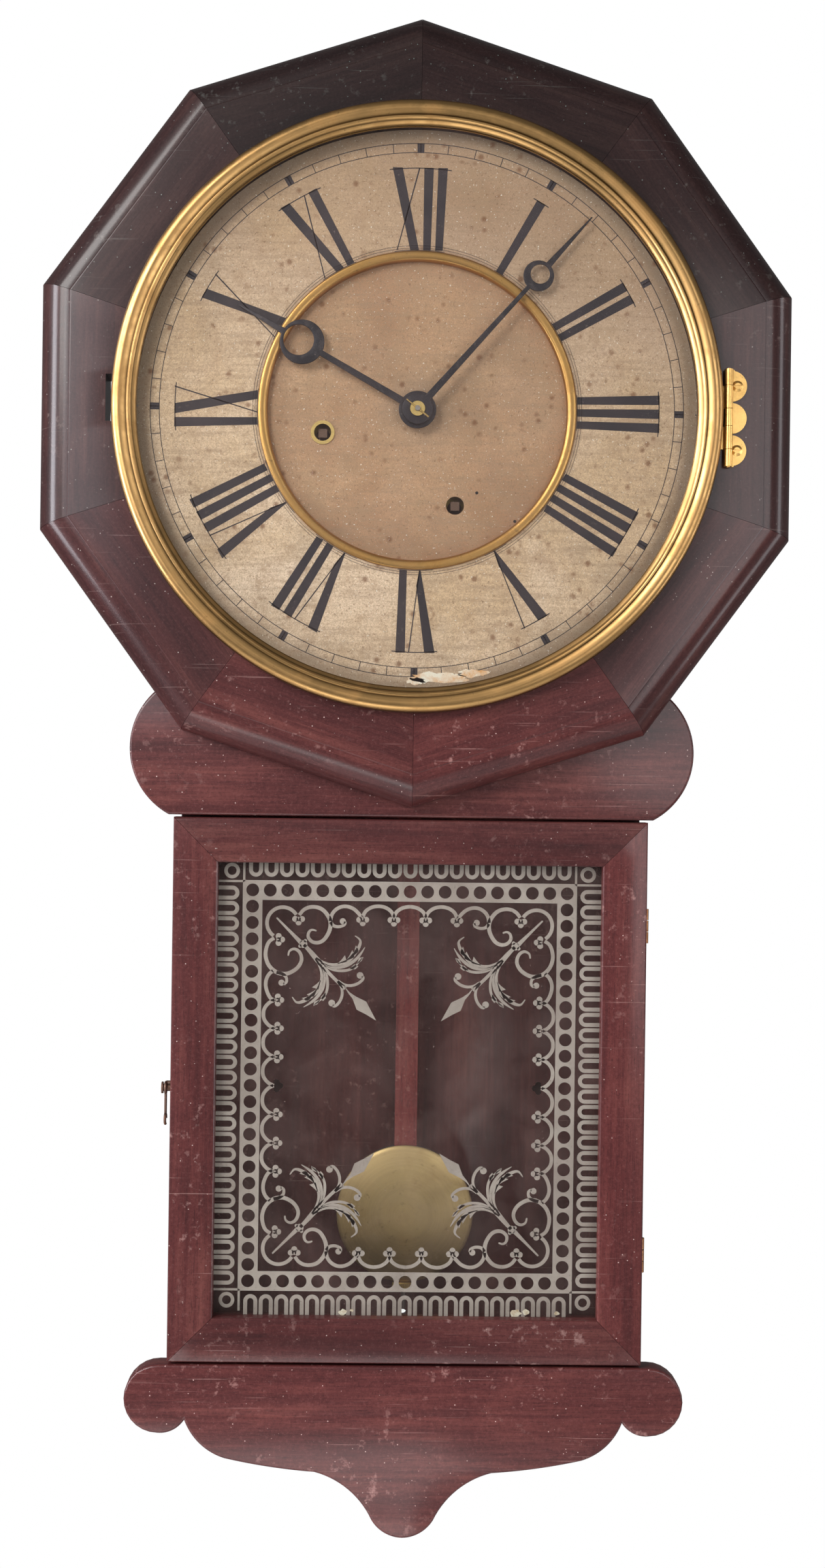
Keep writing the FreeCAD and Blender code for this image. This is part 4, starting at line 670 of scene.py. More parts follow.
def makeHead():
    h = head
    profile = headProfile()
    half = math.pi / h["sides"]
    for k in range(h["sides"]):
        points, faces, count = [], [], len(profile)
        turn = 2 * half * k
        out, side = Vector((math.cos(turn), 0, math.sin(turn))), Vector((-math.sin(turn), 0,
                math.cos(turn)))
        rows = 9
        for row in range(rows):
            share = -1 + 2 * row / (rows - 1)
            for across, depth in profile:
                reach = across * math.tan(half) - h["kerf"] / 2 / math.cos(half)
                inset = across
                if across <= h["opening"] + 1e-6:
                    angle = math.atan2(share * reach, across)
                    inset = h["opening"] * math.cos(angle)
                points.append(out * inset + side * (share * reach if across > h["opening"] + 1e-6
                                                    else h["opening"] * math.sin(angle))
                              + Vector((0, -depth, dialZ)))
        for row in range(rows - 1):
            for j in range(count):
                nextJ = (j + 1) % count
                faces.append((row * count + j, row * count + nextJ, (row + 1) * count + nextJ,
                              (row + 1) * count + j))
        faces.append(tuple(range(count)))
        faces.append(tuple((rows - 1) * count + j for j in reversed(range(count))))
        piece = newPiece(f"head_segment_{k + 1}", meshFrom(f"head_segment_{k + 1}", points, faces),
                         headWood)
        if k == h["sides"] // 2:
            piece = cutSlot(piece)
        smooth(piece, 28)
        # painted shade: head segments darker towards the top and lighter towards the bottom, with a little
        # random tone per segment
        headShadeTopDark = 0.42 + 0.33 * (1 - math.sin(turn))
        setGrain(piece, side, 2.3 * k, headShadeTopDark * rng.uniform(0.9, 1.1))
        place(piece, "case", "mahogany", "head_segments")


def cutSlot(piece):
    (x0, x1), (z0, z1) = slotCut["x"], slotCut["z"]
    corners = [(x, y, dialZ + z) for x in (x0, x1) for y in (-0.2, 0.0) for z in (z0, z1)]
    faces = [(0, 1, 3, 2), (4, 6, 7, 5), (0, 4, 5, 1), (2, 3, 7, 6), (0, 2, 6, 4), (1, 5, 7, 3)]
    tool = newPiece("slot tool", meshFrom("slot tool", corners, faces), headWood)
    cut = piece.modifiers.new("slot", "BOOLEAN")
    cut.object, cut.operation, cut.solver = tool, "DIFFERENCE", "EXACT"
    piece = baked(piece)
    bpy.data.objects.remove(tool)
    return piece


makeHead()
print("head made")

# door frame: four mitred members with a rounded front edge and a bead at the glass
door = {"half": 137.5 * mm, "top": 234 * mm, "foot": 549.5 * mm, "width": 26 * mm, "back": 75.4 * mm,
        "front": 91 * mm,
        "kerf": 0.12 * mm}


def doorProfile():
    d = door
    inner, front, back = d["half"] - d["width"], d["front"], d["back"]
    outer, soft = d["half"], 1.6 * mm
    points = [(inner + 4.6 * mm, back), (outer - 0.6 * mm, back), (outer, back + 0.6 * mm),
              (outer, front - soft)]
    points += [(outer - soft + soft * math.cos(math.radians(a)),
                front - soft + soft * math.sin(math.radians(a))) for a in (30, 60, 90)]
    points += [(inner + 1.4 * mm, front)]
    points += [(inner + 1.4 * mm - 1.4 * mm * math.sin(math.radians(a)),
                front - 1.4 * mm + 1.4 * mm * math.cos(math.radians(a))) for a in (30, 60, 90)]
    points += [(inner, d["back"] + 7.8 * mm), (inner + 4.6 * mm, d["back"] + 7.8 * mm)]
    return points


def member(name, along, cross, halfLength, offset, tone, shift):
    d = door
    centre = Vector((0, 0, dialZ - (d["top"] + d["foot"]) / 2))
    points, faces, profile = [], [], doorProfile()
    count, rows = len(profile), 25
    for row in range(rows):
        share = -1 + 2 * row / (rows - 1)
        for across, depth in profile:
            inset = d["half"] - across
            reach = halfLength - inset - d["kerf"]
            points.append(centre + along * share * reach + cross * (offset - inset) + Vector((0, -depth,
                    0)))
    for row in range(rows - 1):
        for j in range(count):
            nextJ = (j + 1) % count
            faces.append((row * count + j, row * count + nextJ, (row + 1) * count + nextJ,
                          (row + 1) * count + j))
    faces += [tuple(range(count)), tuple((rows - 1) * count + j for j in reversed(range(count)))]
    piece = smooth(newPiece(name, meshFrom(name, points, faces), doorWood), 25)
    setGrain(piece, along, shift, tone)
    return place(piece, "door", "mahogany", name.replace("_shaped", ""))


doorHalfTall = (door["foot"] - door["top"]) / 2
upV, rightV = Vector((0, 0, 1)), Vector((1, 0, 0))
member("door_stile_left_shaped", upV, -rightV, doorHalfTall, door["half"], 1.0, 0.4)
member("door_stile_right_shaped", upV, rightV, doorHalfTall, door["half"], 1.1, 6.4)
member("door_rail_top_shaped", rightV, upV, door["half"], doorHalfTall, 0.92, 9.1)
member("door_rail_bottom_shaped", rightV, -upV, door["half"], doorHalfTall, 0.95, 12.7)

beads = nodes["door_glass_beads"].data.copy()
piece = smooth(soften(newPiece("glass_beads_wood", beads, innerWood), 0.5 * mm), 40)
setGrain(piece, upward, 3.0, 1.0)
place(piece, "door", "mahogany", "door_glass_beads")


def pane(name, node, material, body):
    piece = newPiece(name, nodes[node].data.copy(), material)
    piece = smooth(soften(piece, 0.25 * mm, 2), 40)
    return place(piece, body, "clear_glass", node)


pane("door_pane", "door_glass", doorGlass, "door")
pane("bezel_pane", "bezel_glass", dialGlass, "bezel")
print("door made")

# bezel: a spun brass ring with a rounded rim and an inner bead
bezelLine = [(173, 113.4), (173, 118.5)]
bezelLine += bow((173, 118.5), (172.9, 123.0), (168.5, 123.5), 8)[1:]
bezelLine += bow((168.5, 123.5), (166.2, 123.3), (164.2, 122.1), 5)[1:] + [(163.9, 122.35)]
bezelLine += bow((163.9, 122.35), (162.7, 123.4), (161.6, 121.9), 5)[1:] + [(161.35, 121.55),
        (161.1, 121.5)]
bezelLine += [(158.9, 119.35), (158.7, 119.1), (158.7, 117.9), (159.9, 117.9), (160.2, 118.8),
              (162.6, 120.9), (166.0, 121.9),
              (168.5, 122.3), (170.9, 121.2), (171.8, 118.5), (171.8, 113.4)]
bezel = spun("bezel_spinning", [(r * mm, depth * mm) for r, depth in bezelLine], dialZ, bezelBrass, 320)
place(bezel, "bezel", "brass", "bezel_ring")

# dial: paper on sheet, ring, printed track and numerals
dial = {"face": 107 * mm, "trackOut": 152.4 * mm, "trackIn": 147.2 * mm, "line": 0.42 * mm,
        "block": 3.9 * mm, "numeralIn": 91.2 * mm, "numeralOut": 138.4 * mm}
chapter = newPiece("chapter_ring", nodes["dial_chapter_plate"].data.copy(), chapterPaper)
place(smooth(soften(chapter, 0.15 * mm, 1), 40), "case", "dial_paper", "dial_chapter_plate")
sunk = newPiece("sunk_centre", nodes["dial_centre_plate"].data.copy(), centrePaper)
place(smooth(soften(sunk, 0.15 * mm, 1), 40), "case", "dial_centre_paper", "dial_centre_plate")
ringLine = [(85.5, 103.0), (86.3, 103.0), (86.3, 107.0)] + [(91.0, 107.0),
        (91.0, 107.5)] + bow((91.0, 107.5), (90.7, 108.35), (89.4, 108.4), 5)[1:]
ringLine += bow((89.4, 108.4), (86.6, 108.5), (85.9, 107.4), 6)[1:] + [(85.5, 106.6)]
dialRing = spun("dial_ring_turned", [(r * mm, depth * mm) for r, depth in ringLine], dialZ, ringBrass, 240)
place(dialRing, "case", "brass", "dial_centre_ring")

printDepth = dial["face"] + 0.02 * mm
inks = []


def radial(points, turn):
    c, s = math.cos(math.radians(turn)), math.sin(math.radians(turn))
    return [(x * c + z * s, -x * s + z * c + dialZ) for x, z in points]


def flat(name, loops, thickness=0.03 * mm, depth=None, material=None):
    return plate(name, loops, printDepth if depth is None else depth, thickness, 0.0, material or ink)


for radius in (dial["trackOut"], dial["trackIn"]):
    inks.append(flat("track", [circle(0, dialZ, radius, 240),
                               circle(0, dialZ, radius - dial["line"], 240)]))
for radius in (92.6 * mm, 94.0 * mm):
    inks.append(flat("inner track",
                     [circle(0, dialZ, radius, 240), circle(0, dialZ, radius - 0.22 * mm, 240)]))
half = dial["line"] / 2
mark = flat("minute mark", [[(-half, dial["trackIn"]), (half, dial["trackIn"]), (half, dial["trackOut"]),
                             (-half, dial["trackOut"])]])
inks.append(repeated(mark, roundTree, 60, (0, math.radians(6), 0), (0, 0, dialZ), ink))
half = dial["block"] / 2
block = flat("five minute block",
             [[(-half, dial["trackIn"]), (half, dial["trackIn"]), (half * 1.04, dial["trackOut"]),
               (-half * 1.04, dial["trackOut"])]])
inks.append(repeated(block, roundTree, 12, (0, math.radians(30), 0), (0, 0, dialZ), ink))

glyph = {"I": 8.0 * mm, "V": 16.2 * mm, "X": 17.6 * mm}


def stroke(kind, x):
    low, high = dial["numeralIn"], dial["numeralOut"]
    pinch = lambda across, z: across * (0.86 + 0.14 * (z - low) / (high - low))
    bars = []
    if kind == "I":
        bars = [[(x - 2.7 * mm, high), (x + 2.7 * mm, high), (x + 2.5 * mm, low), (x - 2.5 * mm, low)]]
    if kind == "V":
        bars = [[(x - 7.6 * mm, high), (x - 1.7 * mm, high), (x + 3.3 * mm, low + 9 * mm),
                 (x + 1.4 * mm, low), (x + 0.5 * mm, low)],
                [(x + 6.9 * mm, high), (x + 7.6 * mm, high), (x + 1.5 * mm, low), (x + 0.9 * mm, low)]]
    if kind == "X":
        bars = [[(x - 8.0 * mm, high), (x - 2.2 * mm, high), (x + 7.6 * mm, low), (x + 1.8 * mm, low)],
                [(x + 7.1 * mm, high), (x + 7.9 * mm, high), (x - 6.6 * mm, low), (x - 7.3 * mm, low)]]
    return [[(pinch(px, pz), pz) for px, pz in bar] for bar in bars]


def numeral(text, hour):
    width = sum(glyph[letter] for letter in text)
    x, bars = -width / 2, []
    for letter in text:
        bars += stroke(letter, x + glyph[letter] / 2)
        x += glyph[letter]
    for radius, thick, over in ((dial["numeralOut"], 0.55 * mm, 1.3 * mm),
                                (dial["numeralIn"] + 0.4 * mm, 0.35 * mm, 0.2 * mm)):
        span = (width / 2 + over - (0.3 * mm if "I" in (text[0], text[-1]) else 0)) / radius
        scale = 1.0 if radius > 0.12 else 0.86
        outer = [(radius * math.sin(t * span * scale), radius * math.cos(t * span * scale))
                 for t in (k / 8 for k in range(-8, 9))]
        inner = [((radius - thick) * math.sin(t * span * scale),
                  (radius - thick) * math.cos(t * span * scale)) for t in (k / 8 for k in range(8, -9, -1))]
        bars.append(outer + inner)
    for bar in bars:
        inks.append(flat("stroke", [radial(bar, hour * 30)]))


for hour, text in enumerate(("XII", "I", "II", "III", "IIII", "V", "VI", "VII", "VIII", "IX", "X", "XI")):
    numeral(text, hour)
place(joined("dial_print", inks), "case", "dial_paper")


def ragged(radii, centre, seed, points=26):
    noise = random.Random(seed)
    return [(centre[0] + radii[0] * math.cos(t) * noise.uniform(0.72, 1.18),
             centre[1] + radii[1] * math.sin(t) * noise.uniform(0.62, 1.25))
            for t in (2 * math.pi * k / points for k in range(points))]


scrap = joined("torn_scrap", [flat("scrap", [ragged((r * mm, h * mm), (x * mm, dialZ + z * mm), seed)],
                                   0.12 * mm, printDepth, scrapPaper)
                              for r, h, x, z, seed in ((17, 3.4, 15, -152.5, 3), (9, 2.4, 34, -149.5, 5),
                                                       (6, 2.0, 1, -154.5, 8))])
place(scrap, "case", "dial_paper")
# painted shade: near-black discs on the sunk centre stand for the dark inside of two pin holes
pins = [flat("dial hole", [circle(x * mm, dialZ + z * mm, 0.9 * mm, 16)], 0.02 * mm, 103.02 * mm, holeShade)
        for x, z in ((34.7, -46), (56.7, -62))]
place(joined("pin_holes", pins), "case", "dial_centre_paper")
print("dial made")

# hands: moon hands with a bevelled edge
handBoxes = {name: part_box(name) for name in ("minute_hand", "hour_hand", "hand_washer_and_pin")}


def moonHand(name, node, angle, boss, arm, ringAt, ring, hole, shift, point, reach, bore):
    low, high = handBoxes[node]
    depth, thick = -high.y, high.y - low.y
    steps = 28
    bossHalf = math.degrees(math.asin(arm[0] / 2 / boss))
    ringHalf = math.degrees(math.asin(arm[1] / 2 / ring))
    tipHalf = math.degrees(math.asin(point / 2 / ring))
    outline = arcPoints(0, 0, boss * mm, 90 + bossHalf, 450 - bossHalf, 44)
    outline += [(x, z + ringAt * mm) for x,
                z in arcPoints(0, 0, ring * mm, -90 + ringHalf, 90 - tipHalf, steps)]
    outline += [(0.35 * mm, reach * mm), (-0.35 * mm, reach * mm)]
    outline += [(x, z + ringAt * mm) for x,
                z in arcPoints(0, 0, ring * mm, 90 + tipHalf, 270 - ringHalf, steps)]
    moon = circle(0, (ringAt + shift) * mm, hole * mm, 44)
    loops = [radial(outline, angle), radial(moon, angle), radial(circle(0, 0, bore * mm, 28), angle)]
    piece = plate(name, loops, depth, thick, 0.28 * mm, handSteel, 2)
    return place(smooth(piece, 40), node, "blackened_steel", node)


moonHand("minute_hand_blued", "minute_hand", 41.5, 8.75, (4.0, 2.4), 102.4, 8.75, 5.5, 1.3, 3.6, 147.6,
         2.62)
moonHand("hour_hand_blued", "hour_hand", 299.5, 10.7, (4.0, 3.3), 76.0, 12.7, 8.7, 2.3, 3.6, 118, 4.32)

# silver stencil on the back of the door glass: a holed band and rows of loops round four mirrored corners
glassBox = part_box("door_glass")
stencil = {"depth": -glassBox[1].y - 0.06 * mm, "thick": 0.05 * mm, "rise": 1.4 * mm,
           "outer": (97.6, 119.8), "band": 11.5,
           "hole": 3.75, "across": 19, "down": 25, "loopDeep": 12.5, "loopRadius": 4.1, "stroke": 2.3,
           "rowsAcross": 21, "rowsDown": 26}
glassMid = dialZ - (door["top"] + door["foot"]) / 2 + stencil["rise"]
quarter, whole = [], []


def film(loops, target=quarter):
    scaled = [[(x * mm, z * mm) for x, z in loop] for loop in loops]
    target.append(plate("film", scaled, stencil["depth"], stencil["thick"], 0.0, silver))


def flow(points, detail=6):
    dense = []
    for k in range(len(points) - 1):
        p0, p1, p2, p3 = (points[min(max(k + j, 0), len(points) - 1)] for j in (-1, 0, 1, 2))
        for i in range(detail):
            t = i / detail
            dense.append(tuple(0.5 * (2 * b + (c - a) * t + (2 * a - 5 * b + 4 * c - d) * t * t
                                      + (3 * b - a - 3 * c + d) * t ** 3)
                               for a, b, c, d in zip(p0, p1, p2, p3)))
    return dense + [points[-1]]


def ribbon(points, widths, target=quarter):
    points, left, right = flow(points), [], []
    last = len(points) - 1
    for k, (x, z) in enumerate(points):
        before, after = points[max(0, k - 1)], points[min(last, k + 1)]
        dx, dz = after[0] - before[0], after[1] - before[1]
        size = math.hypot(dx, dz) or 1
        place = k / last * (len(widths) - 1)
        low = min(int(place), len(widths) - 2)
        half = (widths[low] + (widths[low + 1] - widths[low]) * (place - low)) / 2
        left.append((x - dz / size * half, z + dx / size * half))
        right.append((x + dz / size * half, z - dx / size * half))
    film([left + right[::-1]], target)


def ball(x, z, radius):
    film([circle(x, z, radius, 20)])


def trefoil(x, z, away):
    for dx, dz in ((away[0], away[1]), (away[1], away[0]), (-away[1], -away[0])):
        ball(x + 2.0 * dx, z + 2.0 * dz, 1.75)
    ball(x, z, 1.3)


def overDiagonal(points):
    return [(19.96 - z, 19.96 - x) for x, z in points]


plain = [2.1, 2.1]
scallops = {"top": [(-27.5, 99.0), (-26.0, 102.2), (-22.6, 104.6), (-18.4, 105.4), (-14.2, 104.6),
                    (-10.8, 102.2), (-9.3, 99.0)],
            "mid": [(-9.3, 99.0), (-7.8, 102.2), (-4.2, 104.6), (0.0, 105.4)]}
for points in scallops.values():
    ribbon(points, plain)
for low, high in ((33.5, 50.0), (16.8, 33.5), (0.0, 16.8)):
    mid, half = (low + high) / 2, (high - low) / 2
    ribbon([(-78.2, mid - half), (-81.4, mid - 0.80 * half), (-84.0, mid - 0.42 * half), (-84.7, mid),
            (-84.0, mid + 0.42 * half),
            (-81.4, mid + 0.80 * half), (-78.2, mid + half)], plain)
    trefoil(-76.4, low, (1, 0))
for x, z, away in ((-64.9, 97.4, (0, -1)), (-27.5, 97.4, (0, -1)), (-9.3, 97.4, (0, -1)),
                   (-76.4, 85.3, (1, 0)), (-76.4, 50.0, (1, 0))):
    trefoil(x, z, away)
ribbon(arcPoints(-74.1, 95.0, 9.2, 32, 235, 24), plain)
corner = {
    "scroll": ([(-64.5, 99.7), (-62.2, 102.6), (-58.9, 104.3), (-55.0, 104.5), (-51.3, 103.2),
                (-48.4, 100.3), (-46.5, 96.7), (-46.4, 92.7),
                (-47.7, 88.8), (-50.3, 85.2), (-53.6, 83.7), (-56.9, 84.3), (-59.1, 86.8), (-58.8, 89.8),
                (-56.9, 91.2), (-54.4, 90.6)],
               [2.0, 2.2, 2.4, 2.2, 1.9, 0.9]),
    "branch": ([(-46.3, 96.4), (-45.6, 100.0), (-43.4, 103.0), (-40.1, 104.8), (-36.5, 105.0),
                (-32.8, 103.6), (-29.9, 101.0), (-28.0, 98.4)], plain),
    "curl": ([(-46.2, 95.9), (-44.4, 93.7), (-41.1, 93.2), (-38.1, 94.4), (-37.7, 96.2)], [2.0, 1.5]),
    "sideScroll": ([(-79.0, 86.1), (-81.7, 84.2), (-83.3, 80.9), (-83.9, 76.2), (-82.7, 71.6),
                    (-80.0, 68.0), (-76.4, 65.8), (-72.1, 65.3),
                    (-68.2, 66.7), (-64.9, 69.3), (-63.0, 72.9), (-63.2, 76.2), (-64.9, 78.9),
                    (-67.5, 79.9), (-70.0, 78.6), (-70.7, 75.9)],
                   [2.0, 2.2, 2.4, 2.2, 1.9, 0.9]),
    "sideBranch": ([(-79.4, 67.0), (-81.7, 65.0), (-83.3, 61.7), (-83.5, 57.8), (-82.3, 53.8),
                    (-80.4, 50.8), (-78.1, 49.7)], plain),
    "sideCurl": ([(-77.4, 66.2), (-74.1, 65.3), (-71.8, 63.4), (-71.5, 60.7), (-73.1, 59.2)], [2.0, 1.5]),
    "rod": ([(-77.7, 98.0), (-72.8, 93.1), (-67.5, 87.8), (-63.5, 83.8)], [0.9, 1.6, 2.6]),
    "stem": ([(-61.6, 82.5), (-57.6, 78.2), (-53.0, 72.9), (-47.7, 67.0), (-42.4, 61.7), (-37.1, 57.1)],
             [1.8, 2.6, 3.2, 1.9, 1.9, 2.4]),
}
for points, widths in corner.values():
    ribbon(points, widths)
for x, z, radius in ((-39.1, 96.4, 1.8), (-74.4, 60.1, 1.8), (-61.9, 82.8, 2.3), (-63.9, 81.6, 1.0),
                     (-60.8, 84.8, 1.0)):
    ball(x, z, radius)
leaf = {
    "inner": ([(-54.5, 74.9), (-51.0, 72.7), (-46.4, 71.0), (-41.1, 71.1), (-35.8, 73.3), (-31.9, 77.6),
               (-29.2, 82.2), (-28.9, 85.5), (-31.9, 88.0)],
              [0.8, 1.5, 1.9, 2.2, 2.2, 2.0, 1.3, 0.5]),
    "middle": ([(-51.5, 72.0), (-47.0, 70.0), (-43.0, 69.2), (-37.1, 70.3), (-31.9, 73.6), (-28.6, 77.3),
                (-26.0, 81.4)], [0.8, 1.3, 1.7, 1.9, 1.5, 0.3]),
    "outer": ([(-49.5, 70.4), (-45.7, 68.4), (-41.1, 67.5), (-35.8, 67.9), (-31.6, 70.2), (-27.4, 75.2)],
              [0.7, 1.4, 1.6, 1.4, 0.3]),
    "tendril": ([(-41.4, 61.6), (-37.8, 59.4), (-33.8, 58.9), (-29.9, 60.1), (-27.1, 62.5), (-26.9, 64.4)],
                [1.4, 1.7, 1.6]),
}
barbs = [[(-42.1, 71.4), (-39.6, 73.9), (-37.6, 76.6), (-37.0, 74.4), (-36.3, 72.8)],
         [(-37.1, 73.2), (-35.2, 76.0), (-33.3, 79.6), (-32.5, 77.0), (-32.0, 75.4)],
         [(-33.6, 75.6), (-32.2, 78.9), (-31.3, 82.4), (-30.0, 80.3), (-29.6, 78.6)],
         [(-34.8, 68.6), (-31.5, 68.4), (-29.6, 70.1), (-32.0, 71.4)],
         [(-30.6, 71.6), (-27.9, 73.2), (-26.8, 75.6), (-29.3, 75.2)]]
for points, widths in leaf.values():
    ribbon(points, widths)
    ribbon(overDiagonal(points), widths)
for points in barbs:
    film([points])
    film([overDiagonal(points)])
for x, z in ((-28.6, 64.9), overDiagonal([(-28.6, 64.9)])[0]):
    ball(x, z, 1.95)
film([[(-38.1, 58.8), (-34.6, 55.0), (-31.2, 52.7), (-24.8, 49.6), (-21.6, 43.6), (-18.9, 38.6),
       (-25.0, 42.2), (-30.4, 44.9), (-32.8, 51.2), (-35.4, 54.4)]])
for x0, z0, x1, z1 in ((-stencil["outer"][0] + 0.7, 119.0, -stencil["outer"][0] + 0.7, 131.5),
                       (-97.0, stencil["outer"][1] - 0.7, -112.5, stencil["outer"][1] - 0.7)):
    ribbon([(x0, z0), (x1, z1)], [1.3, 1.3])

shape = joined("quarter", quarter)
made = bmesh.new()
for signX in (1, -1):
    for signZ in (1, -1):
        part = shape.data.copy()
        for vertex in part.vertices:
            vertex.co = (vertex.co.x * signX, vertex.co.y, vertex.co.z * signZ + glassMid)
        if signX * signZ < 0:
            part.flip_normals()
        made.from_mesh(part)
bmesh.ops.recalc_face_normals(made, faces=made.faces)
mesh = bpy.data.meshes.new("corners")
made.to_mesh(mesh)
made.free()
bpy.data.objects.remove(shape)
whole.append(newPiece("corners", mesh, silver))


def rectangle(wide, tall):
    return [(-wide, -tall), (wide, -tall), (wide, tall), (-wide, tall)]


def band():
    s = stencil
    wide, tall = s["outer"]
    midWide, midTall = wide - s["band"] / 2, tall - s["band"] / 2
    spots = {(round(-midWide + 2 * midWide * k / (s["across"] - 1), 3), sign * midTall)
             for k in range(s["across"]) for sign in (-1, 1)}
    spots |= {(sign * midWide, round(-midTall + 2 * midTall * k / (s["down"] - 1), 3))
              for k in range(1, s["down"] - 1) for sign in (-1, 1)}
    loops = [rectangle(wide, tall),
             rectangle(wide - s["band"], tall - s["band"])] + [circle(x, z, s["hole"], 20) for x,
                     z in sorted(spots)]
    film([[(x, z + glassMid / mm) for x, z in loop] for loop in loops], whole)


def loopRow(axis, sign):
    s = stencil
    radius, deep = s["loopRadius"], s["loopDeep"]
    inside = radius - s["stroke"]
    arch = arcPoints(0, radius, radius, 180, 360, 16) + [(radius, deep), (inside, deep)]
    arch += arcPoints(0, radius, inside, 360, 180, 16) + [(-inside, deep), (-radius, deep)]
    count = s["rowsAcross"] if axis == "x" else s["rowsDown"]
    reach, edge = (s["outer"][0], s["outer"][1]) if axis == "x" else (s["outer"][1], s["outer"][0])
    pitch = 2 * (reach - 3.0) / count
    holder = []
    turned = [(x, sign * (z + 2.0)) if axis == "x" else (sign * (z + 2.0), x) for x, z in arch]
    film([turned], holder)
    start, step = -pitch * (count - 1) / 2 * mm, pitch * mm
    if axis == "x":
        move, centre = (step, 0, 0), (start, 0, glassMid + sign * edge * mm)
    else:
        move, centre = (0, 0, step), (sign * edge * mm, 0, glassMid + start)
    whole.append(repeated(holder[0], rowTree, count, move, centre, silver))


band()
for sign in (-1, 1):
    loopRow("x", sign)
    loopRow("z", sign)
for signX in (-1, 1):
    for signZ in (-1, 1):
        x, z = signX * (stencil["outer"][0] + 6.4), signZ * (stencil["outer"][1] + 5.4) + glassMid / mm
        film([circle(x, z, 4.6, 24), circle(x, z, 2.6, 24)], whole)
place(joined("glass_stencil", whole), "door", "clear_glass")

flakes = [flat("flake", [ragged((r * mm, r * 0.7 * mm),
                                (x * mm, glassMid - stencil["rise"] - doorHalfTall + door["width"] + z
                                 * mm), seed, 11)], 0.4 * mm, 81.1 * mm - 0.5 * mm, puttyWhite)
          for r, x, z, seed in ((2.6, -36, 1.2, 1), (3.4, 65, 1.4, 2), (2.4, 71, 2.2, 4), (1.6, 89, 1.6, 6),
                                (1.2, -31, 2.4, 9))]
place(joined("putty_flakes", flakes), "door", "clear_glass")
print("stencil made")

# pendulum
bobLow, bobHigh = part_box("bob_shell")
bobRadius, bobZ = (bobHigh.x - bobLow.x) / 2, (bobLow.z + bobHigh.z) / 2
lip, crown = -bobHigh.y, -bobLow.y
domeLine = []
for k in range(25):
    share = k / 24
    domeLine.append((bobRadius * share * 0.985 + 0.02 * mm,
                     lip + 1.4 * mm + (crown - lip - 1.4 * mm) * (1 - share ** 2.1)))
domeLine += [(bobRadius, lip + 0.9 * mm), (bobRadius, lip), (bobRadius - 1.2 * mm, lip)]
domeLine += [(bobRadius * share, lip + 0.5 * mm + (crown - lip - 1.8 * mm) * (1 - share ** 2.1))
             for share in (0.95, 0.8, 0.6, 0.4, 0.2, 0.01)]
place(spun("bob_shell_spun", domeLine, bobZ, bobBrass, 160), "bob", "brass", "bob_shell")

rodPiece = newPiece("pendulum_rod_wood", nodes["pendulum_rod"].data.copy(), rodWood)
rodPiece = smooth(soften(rodPiece, 1.0 * mm, 3), 35)
setGrain(rodPiece, upward, 8.8, 1.0)
place(rodPiece, "pendulum", "rod_wood", "pendulum_rod")


def knurled():
    low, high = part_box("rating_nut")
    radius, middle = (high.x - low.x) / 2, (low.z + high.z) / 2
    half, y = (high.z - low.z) / 2, (low.y + high.y) / 2
    count = 48
    profile = [(1.7 * mm, -half), (radius - 0.8 * mm, -half), (radius - 0.25 * mm, -half + 0.6 * mm),
               (radius - 0.25 * mm, half - 0.6 * mm),
               (radius - 0.8 * mm, half), (1.7 * mm, half)]
    points, faces, n = [], [], len(profile)
    for k in range(count):
        t = 2 * math.pi * k / count
        points += [(r * math.cos(t), y + r * math.sin(t), middle + z) for r, z in profile]
    for k in range(count):
        a, b = k * n, ((k + 1) % count) * n
        faces += [(a + j, a + (j + 1) % n, b + (j + 1) % n, b + j) for j in range(n)]
    core = newPiece("nut core", meshFrom("nut core", points, faces), plateBrass)
    ridge = [(radius - 0.4 * mm, 0.32 * mm), (radius, 0.0), (radius - 0.4 * mm, -0.32 * mm)]
    points = [(x, across, z) for z in (-half + 0.7 * mm, half - 0.7 * mm) for x, across in ridge]
    rib = newPiece("rib", meshFrom("rib", points,
                                   [(0, 1, 4, 3), (1, 2, 5, 4), (2, 0, 3, 5), (0, 2, 1), (3, 4, 5)]),
                   plateBrass)
    ribs = repeated(rib, roundTree, 40, (0, 0, math.radians(9)), (0, y, middle), plateBrass)
    place(smooth(joined("rating_nut_knurled", [core, ribs]), 25), "rating_nut", "brass", "rating_nut")


knurled()
print("pendulum made")

# finishes on the remaining CAD nodes
finishes = {
    plateBrass: ["movement_back_plate", "movement_front_plate", "movement_pillars", "great_wheel_left",
                 "great_wheel_right", "cannon_pinion",
                 "minute_wheel", "hour_wheel", "winding_grommet", "hand_washer_and_pin", "suspension_cock"],
    hingeBrass: ["bezel_hinge_leaf", "bezel_hinge_screws", "bezel_hinge_strap", "hanger_plate",
                 "hinge_pins", "bezel_retainer"],
    workSteel: ["centre_wheel", "second_wheel", "third_wheel", "escape_wheel", "pillar_nuts", "mainsprings",
                "verge_and_crutch", "suspension_spring", "rating_screw", "hanger_screws", "dial_pins"],
    leafBrass: ["door_hinge_case_leaves", "door_hinge_door_leaves"],
    rustSteel: ["door_hook", "door_hook_screw", "case_hook_pin", "winding_arbor_left",
                "winding_arbor_right"],
    iron: ["bob_weight"],
}
for material, names in finishes.items():
    for name in names:
        nodes[name].data.materials.clear()
        nodes[name].data.materials.append(material)

# stage, lamps and camera
floorRadius = 1.5
floorSides = 96
floorRim = [(x, y - 0.3, -1.55) for x, y in circle(0, 0, floorRadius, floorSides)]
floorMesh = meshFrom("floor", floorRim, [tuple(range(floorSides))])
floorNet = Net("pale floor")
floor = newPiece("floor", floorMesh, floorNet.set(color=(0.86, 0.86, 0.85), rough=0.8))


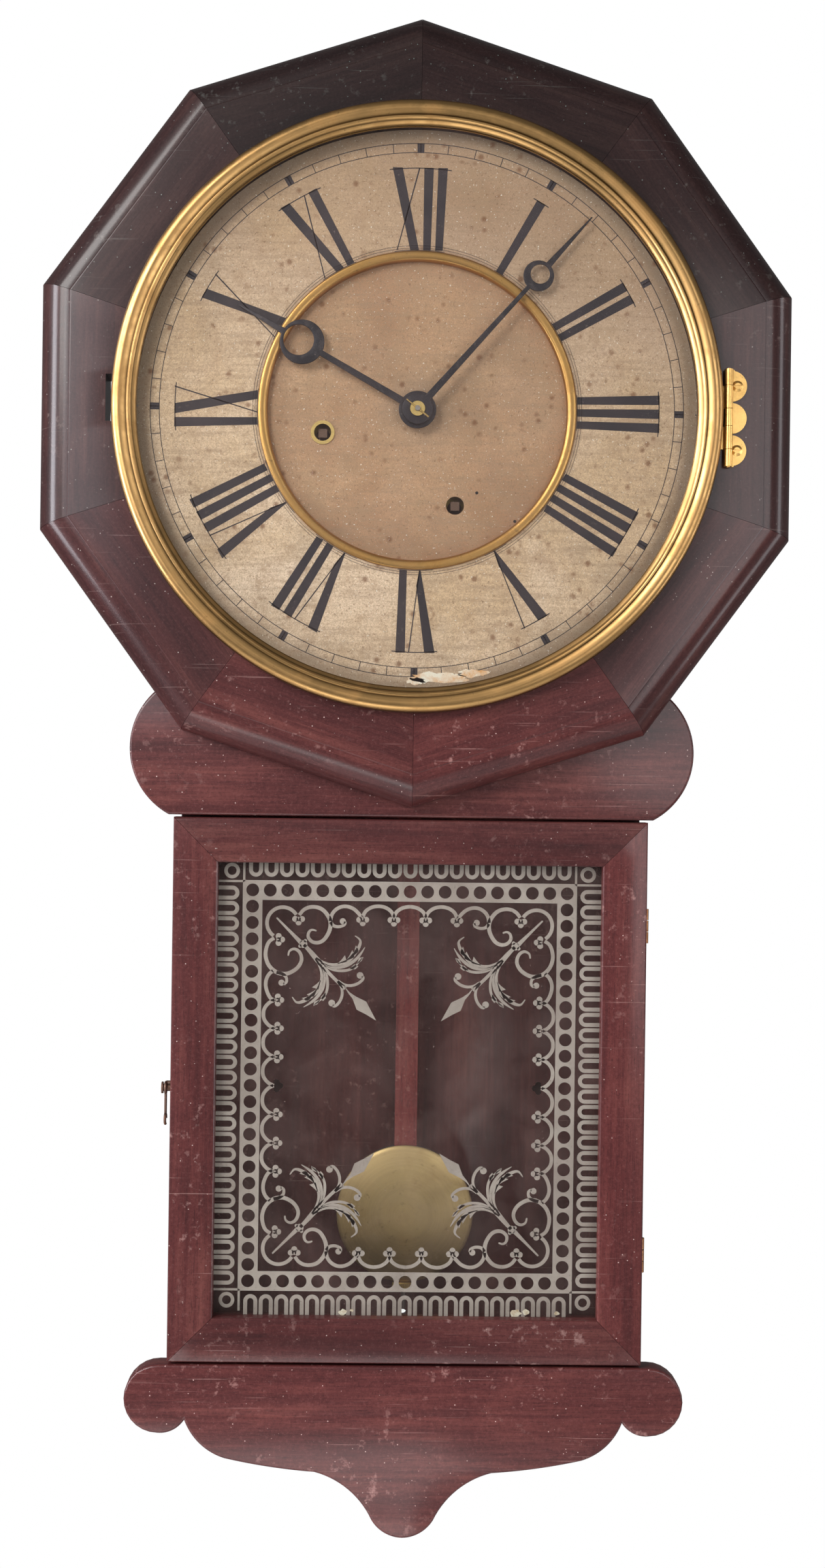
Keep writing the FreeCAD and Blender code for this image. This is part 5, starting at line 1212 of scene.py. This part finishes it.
def lamp(name, place, target, size, power, colour=(1, 1, 1)):
    light = bpy.data.lights.new(name, "AREA")
    light.shape = "RECTANGLE"
    light.size, light.size_y = size
    light.energy, light.color = power, colour
    holder = bpy.data.objects.new(name, light)
    bpy.context.scene.collection.objects.link(holder)
    holder.location = place
    holder.rotation_euler = (Vector(target) - Vector(place)).to_track_quat("-Z", "Y").to_euler()
    return holder


lamp("key softbox", (-1.25, -1.75, 0.75), (0, -0.08, -0.35), (1.0, 1.0), 47, (1.0, 0.985, 0.96))
lamp("front fill", (1.0, -1.9, -0.1), (0, -0.08, -0.40), (0.9, 1.3), 15, (0.98, 0.99, 1.0))
lamp("left strip", (-1.5, -0.60, -0.10), (0, -0.08, -0.20), (0.45, 1.5), 40, (0.93, 0.94, 1.0))
lamp("right strip", (1.8, -0.40, -0.35), (0, -0.08, -0.35), (0.4, 1.6), 11, (0.97, 0.97, 1.0))
lamp("window glow", (-0.78, -1.72, 0.12), (-0.15, -0.08, -0.15), (0.5, 0.55), 3.8, (0.93, 0.94, 1.0))
lamp("low softbox", (-0.3, -1.0, -1.45), (0, -0.08, -0.6), (0.9, 0.4), 4)

world = bpy.data.worlds.new("studio")
bpy.context.scene.world = world
world.use_nodes = True
tree = world.node_tree
sky, paths = tree.nodes["Background"], tree.nodes.new("ShaderNodeLightPath")
dim = tree.nodes.new("ShaderNodeMapRange")
dim.inputs[3].default_value, dim.inputs[4].default_value = 0.14, 1.0
tree.links.new(paths.outputs["Is Camera Ray"], dim.inputs[0])
tree.links.new(dim.outputs[0], sky.inputs[1])
sky.inputs[0].default_value = (1, 1, 1, 1)

camera = bpy.data.cameras.new("camera")
holder = bpy.data.objects.new("camera", camera)
bpy.context.scene.collection.objects.link(holder)
holder.location = (-0.019, -1.2213, -0.342)
holder.rotation_euler = [math.radians(a) for a in (89.935, -0.770, -0.978)]
camera.lens, camera.sensor_width, camera.sensor_fit = 44.83, 36, "AUTO"
camera.clip_start = 0.01
bpy.context.scene.camera = holder
bpy.context.scene.view_settings.view_transform = "Standard"
